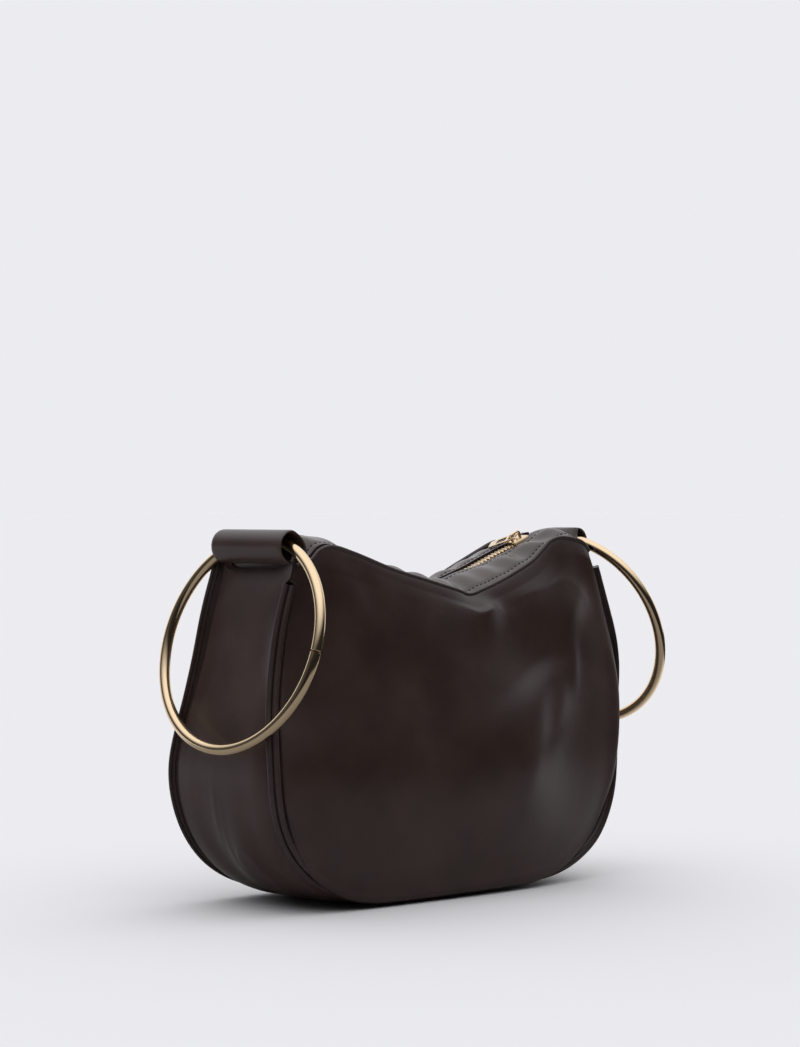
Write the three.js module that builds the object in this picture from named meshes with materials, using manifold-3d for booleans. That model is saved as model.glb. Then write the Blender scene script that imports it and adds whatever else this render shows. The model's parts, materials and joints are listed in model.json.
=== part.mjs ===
// Small leather handbag with a dipped zip top and a large wire ring at each end.
// Millimetres. X runs along the bag, Y from front to back and Z up; the bag stands on Z = 0.

import * as THREE from 'three';
import { mergeVertices } from 'three/addons/utils/BufferGeometryUtils.js';
import Module from 'manifold-3d';

// Leather wall and the clearance between neighbouring pieces
const LEATHER = 1.5;
const GAP = 0.3;

// Seam outline of a panel: a straight bottom run, round corners, and sides that lean in to the top
const SEAM = {
  flatHalf: 42,
  bottom: 4.4,
  widestHalf: 111,
  widestAt: 78,
  cornerPower: 2.4,
  topHalf: 96,
  topAt: 159,
  sidePower: 1.9,
  divisions: 600,
};

// Distance of the seams from the middle plane, a row for each height: both seams of the left end, which
// is drawn in to a waist under its tab, and the front and back seams of the right end
const SEAM_DEPTHS = [
  { z: 0, left: 34.5, rightFront: 34.5, rightBack: 34.5 },
  { z: 40, left: 35.5, rightFront: 35.5, rightBack: 35.5 },
  { z: 66, left: 35.5, rightFront: 35.5, rightBack: 35.5 },
  { z: 97, left: 29.5, rightFront: 34.4, rightBack: 33 },
  { z: 120, left: 27, rightFront: 32.5, rightBack: 29 },
  { z: 150, left: 26.5, rightFront: 28.5, rightBack: 23 },
  { z: 175, left: 26.5, rightFront: 27.5, rightBack: 23 },
];

// Sideways shift of the soft leather, a row for each height: the belly has settled to the left
const SLUMP = [
  { z: 0, shift: -5 },
  { z: 35, shift: -6.5 },
  { z: 62, shift: -5.6 },
  { z: 97, shift: -2 },
  { z: 115, shift: -0.8 },
  { z: 135, shift: -0.6 },
  { z: 152, shift: 0 },
];

// Top edge of both panels, from the left end: two crests and a dip between them. At the right end the
// front panel stands up beside the ring's tab, and the back panel is pressed down under the ring.
const TOP_EDGE = [
  { x: -SEAM.topHalf, z: SEAM.topAt },
  { x: -87, z: 161 },
  { x: -81.5, z: 165.5 },
  { x: -74, z: 167.2 },
  { x: -60, z: 163.8 },
  { x: -36, z: 156 },
  { x: -13, z: 150 },
  { x: 18, z: 144 },
  { x: 40, z: 149.8 },
  { x: 70, z: 163.2 },
  { x: 79, z: 167.2 },
];
const FRONT_EDGE = [...TOP_EDGE, { x: 85, z: 168.8 }, { x: 92, z: 169 }, { x: 97, z: 166.5 }];
const BACK_EDGE = [...TOP_EDGE, { x: 82.5, z: 166.8 }, { x: 87, z: 159 }, { x: SEAM.topHalf, z: 157.8 }];

// Panels: how far their middles swell past the seams, and the folds of the soft leather.
// A fold is a long dent (depth above 0) or ridge (below 0); turn is its angle from X.
const PANEL = { swell: 10, fullness: 0.55, crowding: 0.6, foldFade: 3 };
const FRONT_PANEL = { side: -1, edge: FRONT_EDGE, columns: 30, rows: 17 };
const FRONT_FOLDS = [
  { x: 22, z: 137, turn: 15, length: 20, width: 7, depth: -2.5 },
  { x: 48, z: 122, turn: 70, length: 30, width: 12, depth: 5 },
  { x: 66, z: 106, turn: 60, length: 48, width: 9, depth: -3 },
  { x: 62, z: 64, turn: 85, length: 26, width: 7, depth: 2 },
  { x: 84, z: 70, turn: 85, length: 24, width: 7, depth: 2 },
];
const BACK_PANEL = { side: 1, edge: BACK_EDGE, columns: 26, rows: 14 };
const BACK_FOLDS = [
  { x: 18, z: 132, turn: 10, length: 26, width: 9, depth: -2 },
  { x: -8, z: 116, turn: 110, length: 30, width: 13, depth: 4 },
  { x: 46, z: 112, turn: 65, length: 38, width: 11, depth: 3 },
];

// Gusset: how far it swells out between its two seams, a row for each share of half its length
const GUSSET = { stations: 44, across: [-1, -0.8, -0.5, 0, 0.5, 0.8, 1], flatPower: 8, flatFactor: 1.05 };
const GUSSET_SWELLS = [
  { share: 0, swell: SEAM.bottom },
  { share: 0.18, swell: SEAM.bottom },
  { share: 0.32, swell: 4.2 },
  { share: 0.45, swell: 3.4 },
  { share: 0.65, swell: 1.6 },
  { share: 0.8, swell: -0.8 },
  { share: 0.92, swell: 0 },
  { share: 1, swell: 0 },
];

// Welt: the turned-out seam strip, standing at 45 degrees on the corner of panel and gusset
const WELT = { topAt: 155, thick: 4.4, base: -4.2, shoulder: 2.1, tip: 3.3, tipHalf: 1.3, stations: 44 };

// Top strips beside the zip: the panel's edge stands a lip above them, and they rise to the zip
const FACING = { from: -88.9, to: 88, innerEdge: 5.5, lip: 1, crown: 3, puff: 1.5, stations: 30, across: 4 };

// Zip
const TAPE = { half: 9.5, flatHalf: 4.8, thick: 0.8, drop: 2.1 };
const TEETH = { wide: 2.6, narrow: 1.5, high: 2.3, pitch: 2.5, from: -78, to: 78.5 };
const SLIDER = {
  at: 73,
  length: 9.5,
  outerHalf: 4.1,
  innerHalf: 2.95,
  skirt: -2,
  underside: 0.45,
  topside: 1.5,
  corner: 0.5,
};
const BRIDGE = { outerHalf: 3.3, innerHalf: 2.4, top: 5.1, wall: 0.9, corner: 1.4, width: 1, segments: 3 };
const PULL = {
  barHeight: 3,
  yaw: 60,
  tilt: 8,
  length: 14.5,
  half: 4.1,
  bar: 0.8,
  thick: 0.8,
  eyeLength: 3.6,
  windowFrom: 5.2,
  windowTo: 10.6,
  windowHalf: 2.6,
  eyeCorner: 0.3,
  windowCorner: 0.6,
  segments: 3,
};

// Rings and the rolled tabs that hold them
const RING = { radius: 50, wire: 5.2, steps: 40, sides: 10, jointGap: 0.3, jointBelow: 2.4 };
const TAB = { inside: 6.5, segments: 24 };
const FLAP = { inset: 3.5, thick: 2.6, from: -3, to: -14 };

// The two ends: turn of the end round Z, lean of the ring from plumb, where it rests on the welts, and
// twist of the soft roll round Z, in degrees. The roll reaches from near to far along its own axis, and
// the ring has slid along it.
const LEFT_END = { turn: 180, lean: 16.7, twist: 3.5, near: -22, far: 24.5, slide: 3.2 };
const RIGHT_END = { turn: 0, lean: 20.5, twist: 10, near: -18, far: 19, slide: -4.6 };

// Colours and finishes
const LEATHER_LOOK = { color: 0x2e2624, roughness: 0.42, metalness: 0 };
const TAPE_LOOK = { color: 0x2b2224, roughness: 0.9, metalness: 0 };
const METAL_LOOK = { color: 0xd9bd8c, roughness: 0.18, metalness: 1 };

const wasm = await Module();
wasm.setup();

// Smooth value of a table's column between its rows
function smooth(rows, key, column, at) {
  const last = rows.length - 1;
  let i = 0;
  while (i < last - 1 && at > rows[i + 1][key]) i += 1;
  const slope = (k) => {
    const a = rows[Math.max(k - 1, 0)];
    const b = rows[Math.min(k + 1, last)];
    return (b[column] - a[column]) / (b[key] - a[key]);
  };
  const span = rows[i + 1][key] - rows[i][key];
  const t = THREE.MathUtils.clamp((at - rows[i][key]) / span, 0, 1);
  const start = rows[i][column] * (1 + 2 * t) * (1 - t) ** 2 + slope(i) * span * t * (1 - t) ** 2;
  const end = rows[i + 1][column] * t * t * (3 - 2 * t) + slope(i + 1) * span * t * t * (t - 1);
  return start + end;
}

// Half of the seam outline, from the middle of the bottom to the top end, as (x, z)
class SeamHalf extends THREE.Curve {
  getPoint(t, target = new THREE.Vector2()) {
    const part = t * 3;
    const round = 2 / SEAM.cornerPower;
    if (part <= 1) return target.set(SEAM.flatHalf * part, SEAM.bottom);
    if (part <= 2) {
      const angle = (part - 1) * Math.PI / 2;
      const reach = (SEAM.widestHalf - SEAM.flatHalf) * Math.sin(angle) ** round;
      const drop = (SEAM.widestAt - SEAM.bottom) * Math.max(Math.cos(angle), 0) ** round;
      return target.set(SEAM.flatHalf + reach, SEAM.widestAt - drop);
    }
    const rise = part - 2;
    const lean = (SEAM.widestHalf - SEAM.topHalf) * rise ** SEAM.sidePower;
    return target.set(SEAM.widestHalf - lean, SEAM.widestAt + (SEAM.topAt - SEAM.widestAt) * rise);
  }
}

// Distance of a seam from the middle plane, changing smoothly from the left end to the right end;
// side is -1 in front and 1 behind
function depthAt(side, x, z) {
  const share = THREE.MathUtils.smoothstep(x, -SEAM.widestHalf, SEAM.widestHalf);
  const left = smooth(SEAM_DEPTHS, 'z', 'left', z);
  const right = smooth(SEAM_DEPTHS, 'z', side < 0 ? 'rightFront' : 'rightBack', z);
  return THREE.MathUtils.lerp(left, right, share);
}

const seamHalf = new SeamHalf();
seamHalf.arcLengthDivisions = SEAM.divisions;

// Seam point at a share of its length, -1 at the left top end, 0 at the bottom, 1 at the right top end
function seamAt(share) {
  const side = share < 0 ? -1 : 1;
  const point = seamHalf.getPointAt(Math.abs(share));
  const tangent = seamHalf.getTangentAt(Math.abs(share));
  return {
    x: side * point.x,
    z: point.y,
    front: -depthAt(-1, side * point.x, point.y),
    back: depthAt(1, side * point.x, point.y),
    out: new THREE.Vector3(side * tangent.y, 0, -tangent.x),
    up: new THREE.Vector3(side * tangent.x, 0, tangent.y),
  };
}

// Share of the seam's half length at a height on its side, found by halving
const HALVINGS = 40;

function seamShareAt(z) {
  let low = 0;
  let high = 1;
  for (let i = 0; i < HALVINGS; i += 1) {
    const middle = (low + high) / 2;
    if (seamHalf.getPointAt(middle).y < z) low = middle;
    else high = middle;
  }
  return low;
}

const seamTop = seamAt(1);
const SEAT = LEATHER + GAP;
const WELT_END = seamShareAt(WELT.topAt);
const SLOT_END = seamShareAt(WELT.topAt + GAP * 2);
const CORNER = (seamShareAt(SEAM.widestAt) + SEAM.flatHalf / seamHalf.getLength()) / 2;
const WELT_INSET = (WELT.thick / 2 + GAP) * Math.SQRT2;

// How far the edges of panel and gusset stay back from the seam: the welt's slot, or a plain mitre
function edgeInset(share) {
  return Math.abs(share) <= SLOT_END ? WELT_INSET : GAP;
}

function topEdgeAt(x) {
  return smooth(FRONT_EDGE, 'x', 'z', x);
}

function topDepthAt(side, x) {
  return depthAt(side, x, topEdgeAt(x));
}

// Height of the top strips' upper face
function facingAt(x, y) {
  const across = Math.abs(y) / topDepthAt(y, x);
  const rise = (FACING.crown + FACING.lip) * (1 - across * across);
  return topEdgeAt(x) - FACING.lip + rise + FACING.puff * Math.sin(Math.PI * across);
}

function range(from, to, count) {
  return Array.from({ length: count + 1 }, (_, i) => from + (to - from) * i / count);
}

// Evenly spaced shares from 0 to 1, crowded towards both ends
function crowded(count) {
  return range(0, 1, count).map((t) => t - PANEL.crowding * Math.sin(2 * Math.PI * t) / (2 * Math.PI));
}

function slumpAt(z) {
  return smooth(SLUMP, 'z', 'shift', z);
}

// Geometry from points and triangles of the slumped bag, with its faces turned outwards
function closedGeometry(flatPoints, triangles) {
  const points = flatPoints.map((point) => point.clone().setX(point.x + slumpAt(point.z)));
  let volume = 0;
  for (const [a, b, c] of triangles) {
    volume += points[a].dot(new THREE.Vector3().crossVectors(points[b], points[c]));
  }
  const index = triangles.flatMap(([a, b, c]) => (volume > 0 ? [a, b, c] : [a, c, b]));
  const geometry = new THREE.BufferGeometry().setFromPoints(points);
  geometry.setIndex(index);
  geometry.computeVertexNormals();
  return geometry;
}

// A wall between two matching grids of points, closed along its four edges
function wallGeometry(outer, inner) {
  const rows = outer.length;
  const columns = outer[0].length;
  const points = [...outer.flat(), ...inner.flat()];
  const triangles = [];
  const at = (layer, row, column) => (layer * rows + row) * columns + column;
  const quad = (a, b, c, d) => triangles.push([a, b, c], [a, c, d]);
  for (let r = 0; r < rows - 1; r += 1) {
    for (let c = 0; c < columns - 1; c += 1) {
      quad(at(0, r, c), at(0, r, c + 1), at(0, r + 1, c + 1), at(0, r + 1, c));
      quad(at(1, r, c), at(1, r + 1, c), at(1, r + 1, c + 1), at(1, r, c + 1));
    }
    quad(at(0, r, 0), at(0, r + 1, 0), at(1, r + 1, 0), at(1, r, 0));
    quad(at(0, r, columns - 1), at(1, r, columns - 1), at(1, r + 1, columns - 1), at(0, r + 1, columns - 1));
  }
  for (let c = 0; c < columns - 1; c += 1) {
    quad(at(0, 0, c), at(1, 0, c), at(1, 0, c + 1), at(0, 0, c + 1));
    quad(at(0, rows - 1, c), at(0, rows - 1, c + 1), at(1, rows - 1, c + 1), at(1, rows - 1, c));
  }
  return closedGeometry(points, triangles);
}

// A bar through matching closed sections, with flat ends
function loftGeometry(sections) {
  const sides = sections[0].length;
  const points = sections.flat();
  const triangles = [];
  for (let s = 0; s < sections.length - 1; s += 1) {
    for (let k = 0; k < sides; k += 1) {
      const next = (k + 1) % sides;
      const a = s * sides;
      const b = a + sides;
      triangles.push([a + k, a + next, b + next], [a + k, b + next, b + k]);
    }
  }
  const end = (sections.length - 1) * sides;
  for (let k = 1; k < sides - 1; k += 1) {
    triangles.push([0, k + 1, k], [end, end + k, end + k + 1]);
  }
  return closedGeometry(points, triangles);
}

// Grid moved into the leather by a wall's thickness, along the face's own normals
function innerFace(outer, inward) {
  const rows = outer.length;
  const columns = outer[0].length;
  return outer.map((line, r) => line.map((point, c) => {
    const along = outer[r][Math.min(c + 1, columns - 1)].clone().sub(outer[r][Math.max(c - 1, 0)]);
    const across = outer[Math.min(r + 1, rows - 1)][c].clone().sub(outer[Math.max(r - 1, 0)][c]);
    const normal = along.cross(across).normalize();
    if (normal.dot(inward) < 0) normal.negate();
    return point.clone().addScaledVector(normal, LEATHER);
  }));
}

function foldAt(folds, x, z) {
  let depth = 0;
  for (const fold of folds) {
    const turn = THREE.MathUtils.degToRad(fold.turn);
    const along = (x - fold.x) * Math.cos(turn) + (z - fold.z) * Math.sin(turn);
    const across = (z - fold.z) * Math.cos(turn) - (x - fold.x) * Math.sin(turn);
    depth += fold.depth * Math.exp(-((along / fold.length) ** 2) - (across / fold.width) ** 2);
  }
  return depth;
}

// Point of a panel's edge at its seam, as (x, z), a distance in from the seam
function seamEdge(share, inset) {
  const seam = seamAt(share);
  return new THREE.Vector2(seam.x - inset * seam.out.x, seam.z - inset * seam.out.z);
}

// One soft panel, stretched between its seam and its top edge; side is -1 in front and 1 behind
function panelGeometry({ side, edge, columns, rows }, folds) {
  const slotRow = (SLOT_END - CORNER) / (1 - CORNER);
  const heights = [...range(0, slotRow, rows - 1), 1];
  const shares = crowded(columns);
  const start = edge[0];
  const finish = edge[edge.length - 1];
  const top = (u) => {
    const x = THREE.MathUtils.lerp(start.x + GAP, finish.x - GAP, u);
    return new THREE.Vector2(x, smooth(edge, 'x', 'z', x));
  };
  const atSeam = (share, deeper) => seamEdge(share, edgeInset(share) + deeper);
  const upSide = (v, sign, deeper) => {
    if (v < 1) return atSeam(sign * THREE.MathUtils.lerp(CORNER, 1, v), deeper);
    const corner = top((sign + 1) / 2);
    return corner.setX(corner.x - sign * deeper);
  };
  const left = (v, deeper) => upSide(v, -1, deeper);
  const right = (v, deeper) => upSide(v, 1, deeper);
  const bottom = (u, deeper) => atSeam(THREE.MathUtils.lerp(-CORNER, CORNER, u), deeper);
  const mix = (u, v) => {
    const point = bottom(u, 0).multiplyScalar(1 - v).addScaledVector(top(u), v);
    point.addScaledVector(left(v, 0), 1 - u).addScaledVector(right(v, 0), u);
    point.addScaledVector(bottom(0, 0), -(1 - u) * (1 - v)).addScaledVector(bottom(1, 0), -u * (1 - v));
    return point.addScaledVector(left(1, 0), -(1 - u) * v).addScaledVector(right(1, 0), -u * v);
  };
  const outer = heights.map((v) => shares.map((u) => {
    const flat = mix(u, v);
    const middle = Math.max(Math.sin(Math.PI * u) * Math.sin(Math.PI * v), 0);
    const swell = PANEL.swell * middle ** PANEL.fullness;
    const fold = foldAt(folds, flat.x, flat.y) * Math.min(1, PANEL.foldFade * middle);
    const depth = depthAt(side, flat.x, flat.y);
    return new THREE.Vector3(flat.x, side * (depth + swell - fold), flat.y);
  }));
  const inner = innerFace(outer, new THREE.Vector3(0, -side, 0));
  const bevel = (row, column, flat) => {
    inner[row][column].set(flat.x, outer[row][column].y - side * LEATHER, flat.y);
  };
  heights.forEach((v, row) => {
    bevel(row, 0, left(v, LEATHER));
    bevel(row, columns, right(v, LEATHER));
  });
  shares.forEach((u, column) => {
    bevel(0, column, bottom(u, LEATHER));
    if (column > 0 && column < columns) bevel(rows, column, top(u));
  });
  return wallGeometry(outer, inner);
}

// The strip round both ends and the bottom
function gussetGeometry() {
  const shares = [-1, ...range(-SLOT_END, SLOT_END, GUSSET.stations), 1];
  const outer = [];
  const inner = [];
  for (const share of shares) {
    const seam = seamAt(share);
    const inset = edgeInset(share);
    const swell = Math.min(SEAM.bottom, smooth(GUSSET_SWELLS, 'share', 'swell', Math.abs(share)));
    const face = (across, sunk) => {
      const fill = Math.min(1, (1 - Math.abs(across) ** GUSSET.flatPower) * GUSSET.flatFactor);
      const atEdge = Math.abs(across) === 1;
      const half = Math.abs(across < 0 ? seam.front : seam.back) - inset;
      const y = across * (atEdge ? half - sunk : half);
      return new THREE.Vector3(seam.x, y, seam.z).addScaledVector(seam.out, swell * fill - sunk);
    };
    outer.push(GUSSET.across.map((across) => face(across, 0)));
    inner.push(GUSSET.across.map((across) => face(across, LEATHER)));
  }
  return wallGeometry(outer, inner);
}

// The raised seam strip of one panel
function weltGeometry(side) {
  const half = WELT.thick / 2;
  const section = [
    [WELT.base, -half],
    [WELT.shoulder, -half],
    [WELT.tip, -WELT.tipHalf],
    [WELT.tip, WELT.tipHalf],
    [WELT.shoulder, half],
    [WELT.base, half],
  ];
  return loftGeometry(range(-WELT_END, WELT_END, WELT.stations).map((share) => {
    const seam = seamAt(share);
    const point = new THREE.Vector3(seam.x, side < 0 ? seam.front : seam.back, seam.z);
    const outwards = seam.out.clone().setY(side).normalize();
    const sideways = seam.out.clone().setY(-side).normalize();
    return section.map(([reach, aside]) => point.clone()
      .addScaledVector(outwards, reach).addScaledVector(sideways, aside));
  }));
}

// Point on the top strips, a share along them: their ends are cut along the twisted tabs
function facingPoint(share, y) {
  const cut = ({ twist }) => y * Math.tan(THREE.MathUtils.degToRad(twist));
  const x = THREE.MathUtils.lerp(FACING.from - cut(LEFT_END), FACING.to - cut(RIGHT_END), share);
  return new THREE.Vector3(x, y, facingAt(x, y));
}

// One top strip, from the panel's edge to the zip
function facingGeometry(side) {
  const outer = range(0, 1, FACING.stations).map((share) => {
    const edge = topDepthAt(side, facingPoint(share, 0).x) - LEATHER - GAP;
    return range(FACING.innerEdge, edge, FACING.across).map((y) => facingPoint(share, side * y));
  });
  const inner = outer.map((line) => line.map((point) => point.clone().setZ(point.z - LEATHER)));
  return wallGeometry(outer, inner);
}

// Zip tape, flat under the teeth and following the top strips beside them
function tapeGeometry() {
  const { half, flatHalf, drop, thick } = TAPE;
  const lowered = (share, down) => [-half, -flatHalf, flatHalf, half].map((y) => {
    const point = facingPoint(share, y);
    const level = Math.abs(y) < half ? facingAt(point.x, 0) : point.z;
    return point.setZ(level - down);
  });
  const shares = range(0, 1, FACING.stations);
  const outer = shares.map((share) => lowered(share, drop));
  const inner = shares.map((share) => lowered(share, drop + thick));
  return wallGeometry(outer, inner);
}

function teethFootAt(x) {
  return facingAt(x, 0) - TAPE.drop + GAP;
}

// The closed chain: teeth of the two sides take turns along it
function teethGeometry() {
  const steps = Math.round((TEETH.to - TEETH.from) / TEETH.pitch) * 2;
  return loftGeometry(range(TEETH.from, TEETH.to, steps).map((x, i) => {
    const front = i % 2 === 0 ? TEETH.wide : TEETH.narrow;
    const back = i % 2 === 0 ? TEETH.narrow : TEETH.wide;
    const foot = teethFootAt(x);
    return [
      new THREE.Vector3(x, -front, foot),
      new THREE.Vector3(x, back, foot),
      new THREE.Vector3(x, back, foot + TEETH.high),
      new THREE.Vector3(x, -front, foot + TEETH.high),
    ];
  }));
}

// Points closer than this are one point
const WELD = 1e-4;

function solidFrom(geometry) {
  const plain = geometry.clone();
  plain.deleteAttribute('normal');
  plain.deleteAttribute('uv');
  const merged = mergeVertices(plain, WELD);
  const mesh = new wasm.Mesh({
    numProp: 3,
    vertProperties: new Float32Array(merged.attributes.position.array),
    triVerts: new Uint32Array(merged.index.array),
  });
  return new wasm.Manifold(mesh);
}

function joinedGeometry(first, second) {
  const mesh = solidFrom(first).add(solidFrom(second)).getMesh();
  const geometry = new THREE.BufferGeometry();
  geometry.setAttribute('position', new THREE.BufferAttribute(new Float32Array(mesh.vertProperties), 3));
  geometry.setIndex(new THREE.BufferAttribute(new Uint32Array(mesh.triVerts), 1));
  geometry.computeVertexNormals();
  return geometry;
}

// Outline extruded both ways from the plane of its own two axes
function plateGeometry(shape, thick, across, up, segments = 1) {
  const geometry = new THREE.ExtrudeGeometry(shape, {
    depth: thick,
    bevelEnabled: false,
    curveSegments: segments,
  });
  geometry.translate(0, 0, -thick / 2);
  const through = new THREE.Vector3().crossVectors(across, up);
  return geometry.applyMatrix4(new THREE.Matrix4().makeBasis(across, up, through));
}

const AXIS_X = new THREE.Vector3(1, 0, 0);
const AXIS_Y = new THREE.Vector3(0, 1, 0);
const AXIS_Z = new THREE.Vector3(0, 0, 1);

// Outline with a flat foot and a top with round corners
function archPath(path, half, foot, top, corner) {
  path.moveTo(-half, foot);
  path.lineTo(half, foot);
  path.absarc(half - corner, top - corner, corner, 0, Math.PI / 2);
  path.absarc(corner - half, top - corner, corner, Math.PI / 2, Math.PI);
  return path;
}

// Slider: a channel over the teeth with an arched bridge for the pull, its origin on top of the teeth
function sliderGeometry() {
  const channel = new THREE.Shape();
  channel.moveTo(-SLIDER.outerHalf, SLIDER.skirt);
  channel.lineTo(-SLIDER.innerHalf, SLIDER.skirt);
  channel.lineTo(-SLIDER.innerHalf, SLIDER.underside);
  channel.lineTo(SLIDER.innerHalf, SLIDER.underside);
  channel.lineTo(SLIDER.innerHalf, SLIDER.skirt);
  channel.lineTo(SLIDER.outerHalf, SLIDER.skirt);
  channel.lineTo(SLIDER.outerHalf, SLIDER.topside - SLIDER.corner);
  channel.lineTo(SLIDER.outerHalf - SLIDER.corner, SLIDER.topside);
  channel.lineTo(SLIDER.corner - SLIDER.outerHalf, SLIDER.topside);
  channel.lineTo(-SLIDER.outerHalf, SLIDER.topside - SLIDER.corner);
  const foot = (SLIDER.underside + SLIDER.topside) / 2;
  const arch = archPath(new THREE.Shape(), BRIDGE.outerHalf, foot, BRIDGE.top, BRIDGE.corner);
  const underBridge = BRIDGE.top - BRIDGE.wall;
  const innerCorner = BRIDGE.corner - BRIDGE.wall;
  arch.holes.push(archPath(new THREE.Path(), BRIDGE.innerHalf, foot + GAP, underBridge, innerCorner));
  return joinedGeometry(
    plateGeometry(channel, SLIDER.length, AXIS_Y, AXIS_Z),
    plateGeometry(arch, BRIDGE.width, AXIS_X, AXIS_Z, BRIDGE.segments),
  );
}

function rectanglePath(path, from, to, half, corner) {
  path.moveTo(from + corner, -half);
  path.lineTo(to - corner, -half);
  path.absarc(to - corner, corner - half, corner, -Math.PI / 2, 0);
  path.absarc(to - corner, half - corner, corner, 0, Math.PI / 2);
  path.absarc(from + corner, half - corner, corner, Math.PI / 2, Math.PI);
  path.absarc(from + corner, corner - half, corner, Math.PI, Math.PI * 1.5);
  return path;
}

// Pull: a flat open frame along X, its swing axis along Y through the bar at its eye
function pullGeometry() {
  const frame = rectanglePath(new THREE.Shape(), -PULL.bar / 2, PULL.length, PULL.half, PULL.bar);
  const eyeFrom = PULL.bar / 2;
  const eyeTo = eyeFrom + PULL.eyeLength;
  const eye = rectanglePath(new THREE.Path(), eyeFrom, eyeTo, PULL.half - PULL.bar, PULL.eyeCorner);
  const { windowFrom, windowTo, windowHalf, windowCorner } = PULL;
  const open = rectanglePath(new THREE.Path(), windowFrom, windowTo, windowHalf, windowCorner);
  frame.holes.push(eye, open);
  return plateGeometry(frame, PULL.thick, AXIS_X, AXIS_Y, PULL.segments);
}

// Wire ring as a circle that is open at its butt joint
class RingPath extends THREE.Curve {
  constructor(drop) {
    super();
    this.drop = drop;
  }

  getPoint(t, target = new THREE.Vector3()) {
    const open = RING.jointGap / RING.radius;
    const start = THREE.MathUtils.degToRad(-RING.jointBelow) + open / 2;
    const angle = start + t * (2 * Math.PI - open);
    return target.set(0, RING.radius * Math.cos(angle), RING.radius * Math.sin(angle) - this.drop);
  }
}

// Distance from the roll's axis down to the ring's middle, so that the wire clears the roll by as much
// under its top as at the roll's farther end, where the wire slants
function ringDrop({ near, far, slide }) {
  const reach = Math.max(slide - near, far - slide);
  const chord = Math.sqrt(RING.radius ** 2 - reach ** 2);
  const slanted = RING.wire / 2 * RING.radius / chord;
  return (RING.radius + RING.wire / 2 + chord - slanted) / 2;
}

function ringGeometry(end) {
  const section = new THREE.Shape();
  section.absarc(0, 0, RING.wire / 2, 0, 2 * Math.PI);
  return new THREE.ExtrudeGeometry(section, {
    steps: RING.steps,
    curveSegments: RING.sides / 2,
    extrudePath: new RingPath(ringDrop(end)),
    bevelEnabled: false,
  });
}

// Rolled tab round the ring, its origin in the middle of the roll and X pointing out of the bag.
// Its doubled flap goes down inside the gusset's end and stays square when the roll twists.
function tabGeometry({ twist, near, far }) {
  const outside = TAB.inside + LEATHER;
  const roll = new THREE.Shape();
  roll.absarc(0, 0, outside, 0, 2 * Math.PI);
  const hole = new THREE.Path();
  hole.absarc(0, 0, TAB.inside, 0, 2 * Math.PI);
  roll.holes.push(hole);
  const flap = new THREE.Shape();
  const outer = tabReach() - SEAT;
  flap.moveTo(outer, FLAP.to);
  flap.lineTo(outer, FLAP.from);
  flap.lineTo(outer - FLAP.thick, FLAP.from);
  flap.lineTo(outer - FLAP.thick, FLAP.to);
  const middle = (near + far) / 2;
  const length = far - near;
  const rolled = plateGeometry(roll, length, AXIS_X, AXIS_Z, TAB.segments / 2).translate(0, middle, 0);
  const flapLength = length - 2 * FLAP.inset;
  const square = plateGeometry(flap, flapLength, seamTop.out, seamTop.up).translate(0, middle, 0);
  return joinedGeometry(rolled.rotateZ(THREE.MathUtils.degToRad(twist)), square);
}

// Distance from the roll's middle to the gusset's outer face, along the face's normal (negative: inwards)
function tabReach() {
  return SEAT + FLAP.thick / 2 - TAB.inside - LEATHER / 2;
}

// Middle of the right-hand roll: the ring's swing axis runs through it along Y
function rollCentre() {
  const clear = TAB.inside + LEATHER + GAP;
  const above = Math.sqrt(clear ** 2 - tabReach() ** 2);
  return new THREE.Vector3(seamTop.x, 0, seamTop.z)
    .addScaledVector(seamTop.out, -tabReach())
    .addScaledVector(seamTop.up, above);
}

function piece(name, geometry, look) {
  const mesh = new THREE.Mesh(geometry, new THREE.MeshStandardMaterial(look));
  mesh.name = name;
  return mesh;
}

function leatherBody() {
  const body = new THREE.Group();
  body.add(piece('front_panel', panelGeometry(FRONT_PANEL, FRONT_FOLDS), LEATHER_LOOK));
  body.add(piece('back_panel', panelGeometry(BACK_PANEL, BACK_FOLDS), LEATHER_LOOK));
  body.add(piece('gusset', gussetGeometry(), LEATHER_LOOK));
  body.add(piece('front_welt', weltGeometry(-1), LEATHER_LOOK));
  body.add(piece('back_welt', weltGeometry(1), LEATHER_LOOK));
  body.add(piece('front_facing', facingGeometry(-1), LEATHER_LOOK));
  body.add(piece('back_facing', facingGeometry(1), LEATHER_LOOK));
  return body;
}

function zip() {
  const group = new THREE.Group();
  group.add(piece('zip_tape', tapeGeometry(), TAPE_LOOK));
  group.add(piece('zip_teeth', teethGeometry(), METAL_LOOK));
  const carriage = new THREE.Group();
  const reach = SLIDER.length / 2;
  const rise = teethFootAt(SLIDER.at + reach) - teethFootAt(SLIDER.at - reach);
  carriage.position.set(SLIDER.at, 0, teethFootAt(SLIDER.at) + TEETH.high);
  carriage.rotation.y = -Math.atan2(rise, SLIDER.length);
  carriage.add(piece('zip_slider', sliderGeometry(), METAL_LOOK));
  const pull = piece('zip_pull', pullGeometry(), METAL_LOOK);
  const tilt = THREE.MathUtils.degToRad(PULL.tilt);
  pull.position.z = PULL.barHeight;
  pull.rotation.set(0, tilt, Math.PI - THREE.MathUtils.degToRad(PULL.yaw), 'ZYX');
  carriage.add(pull);
  group.add(carriage);
  return group;
}

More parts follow.
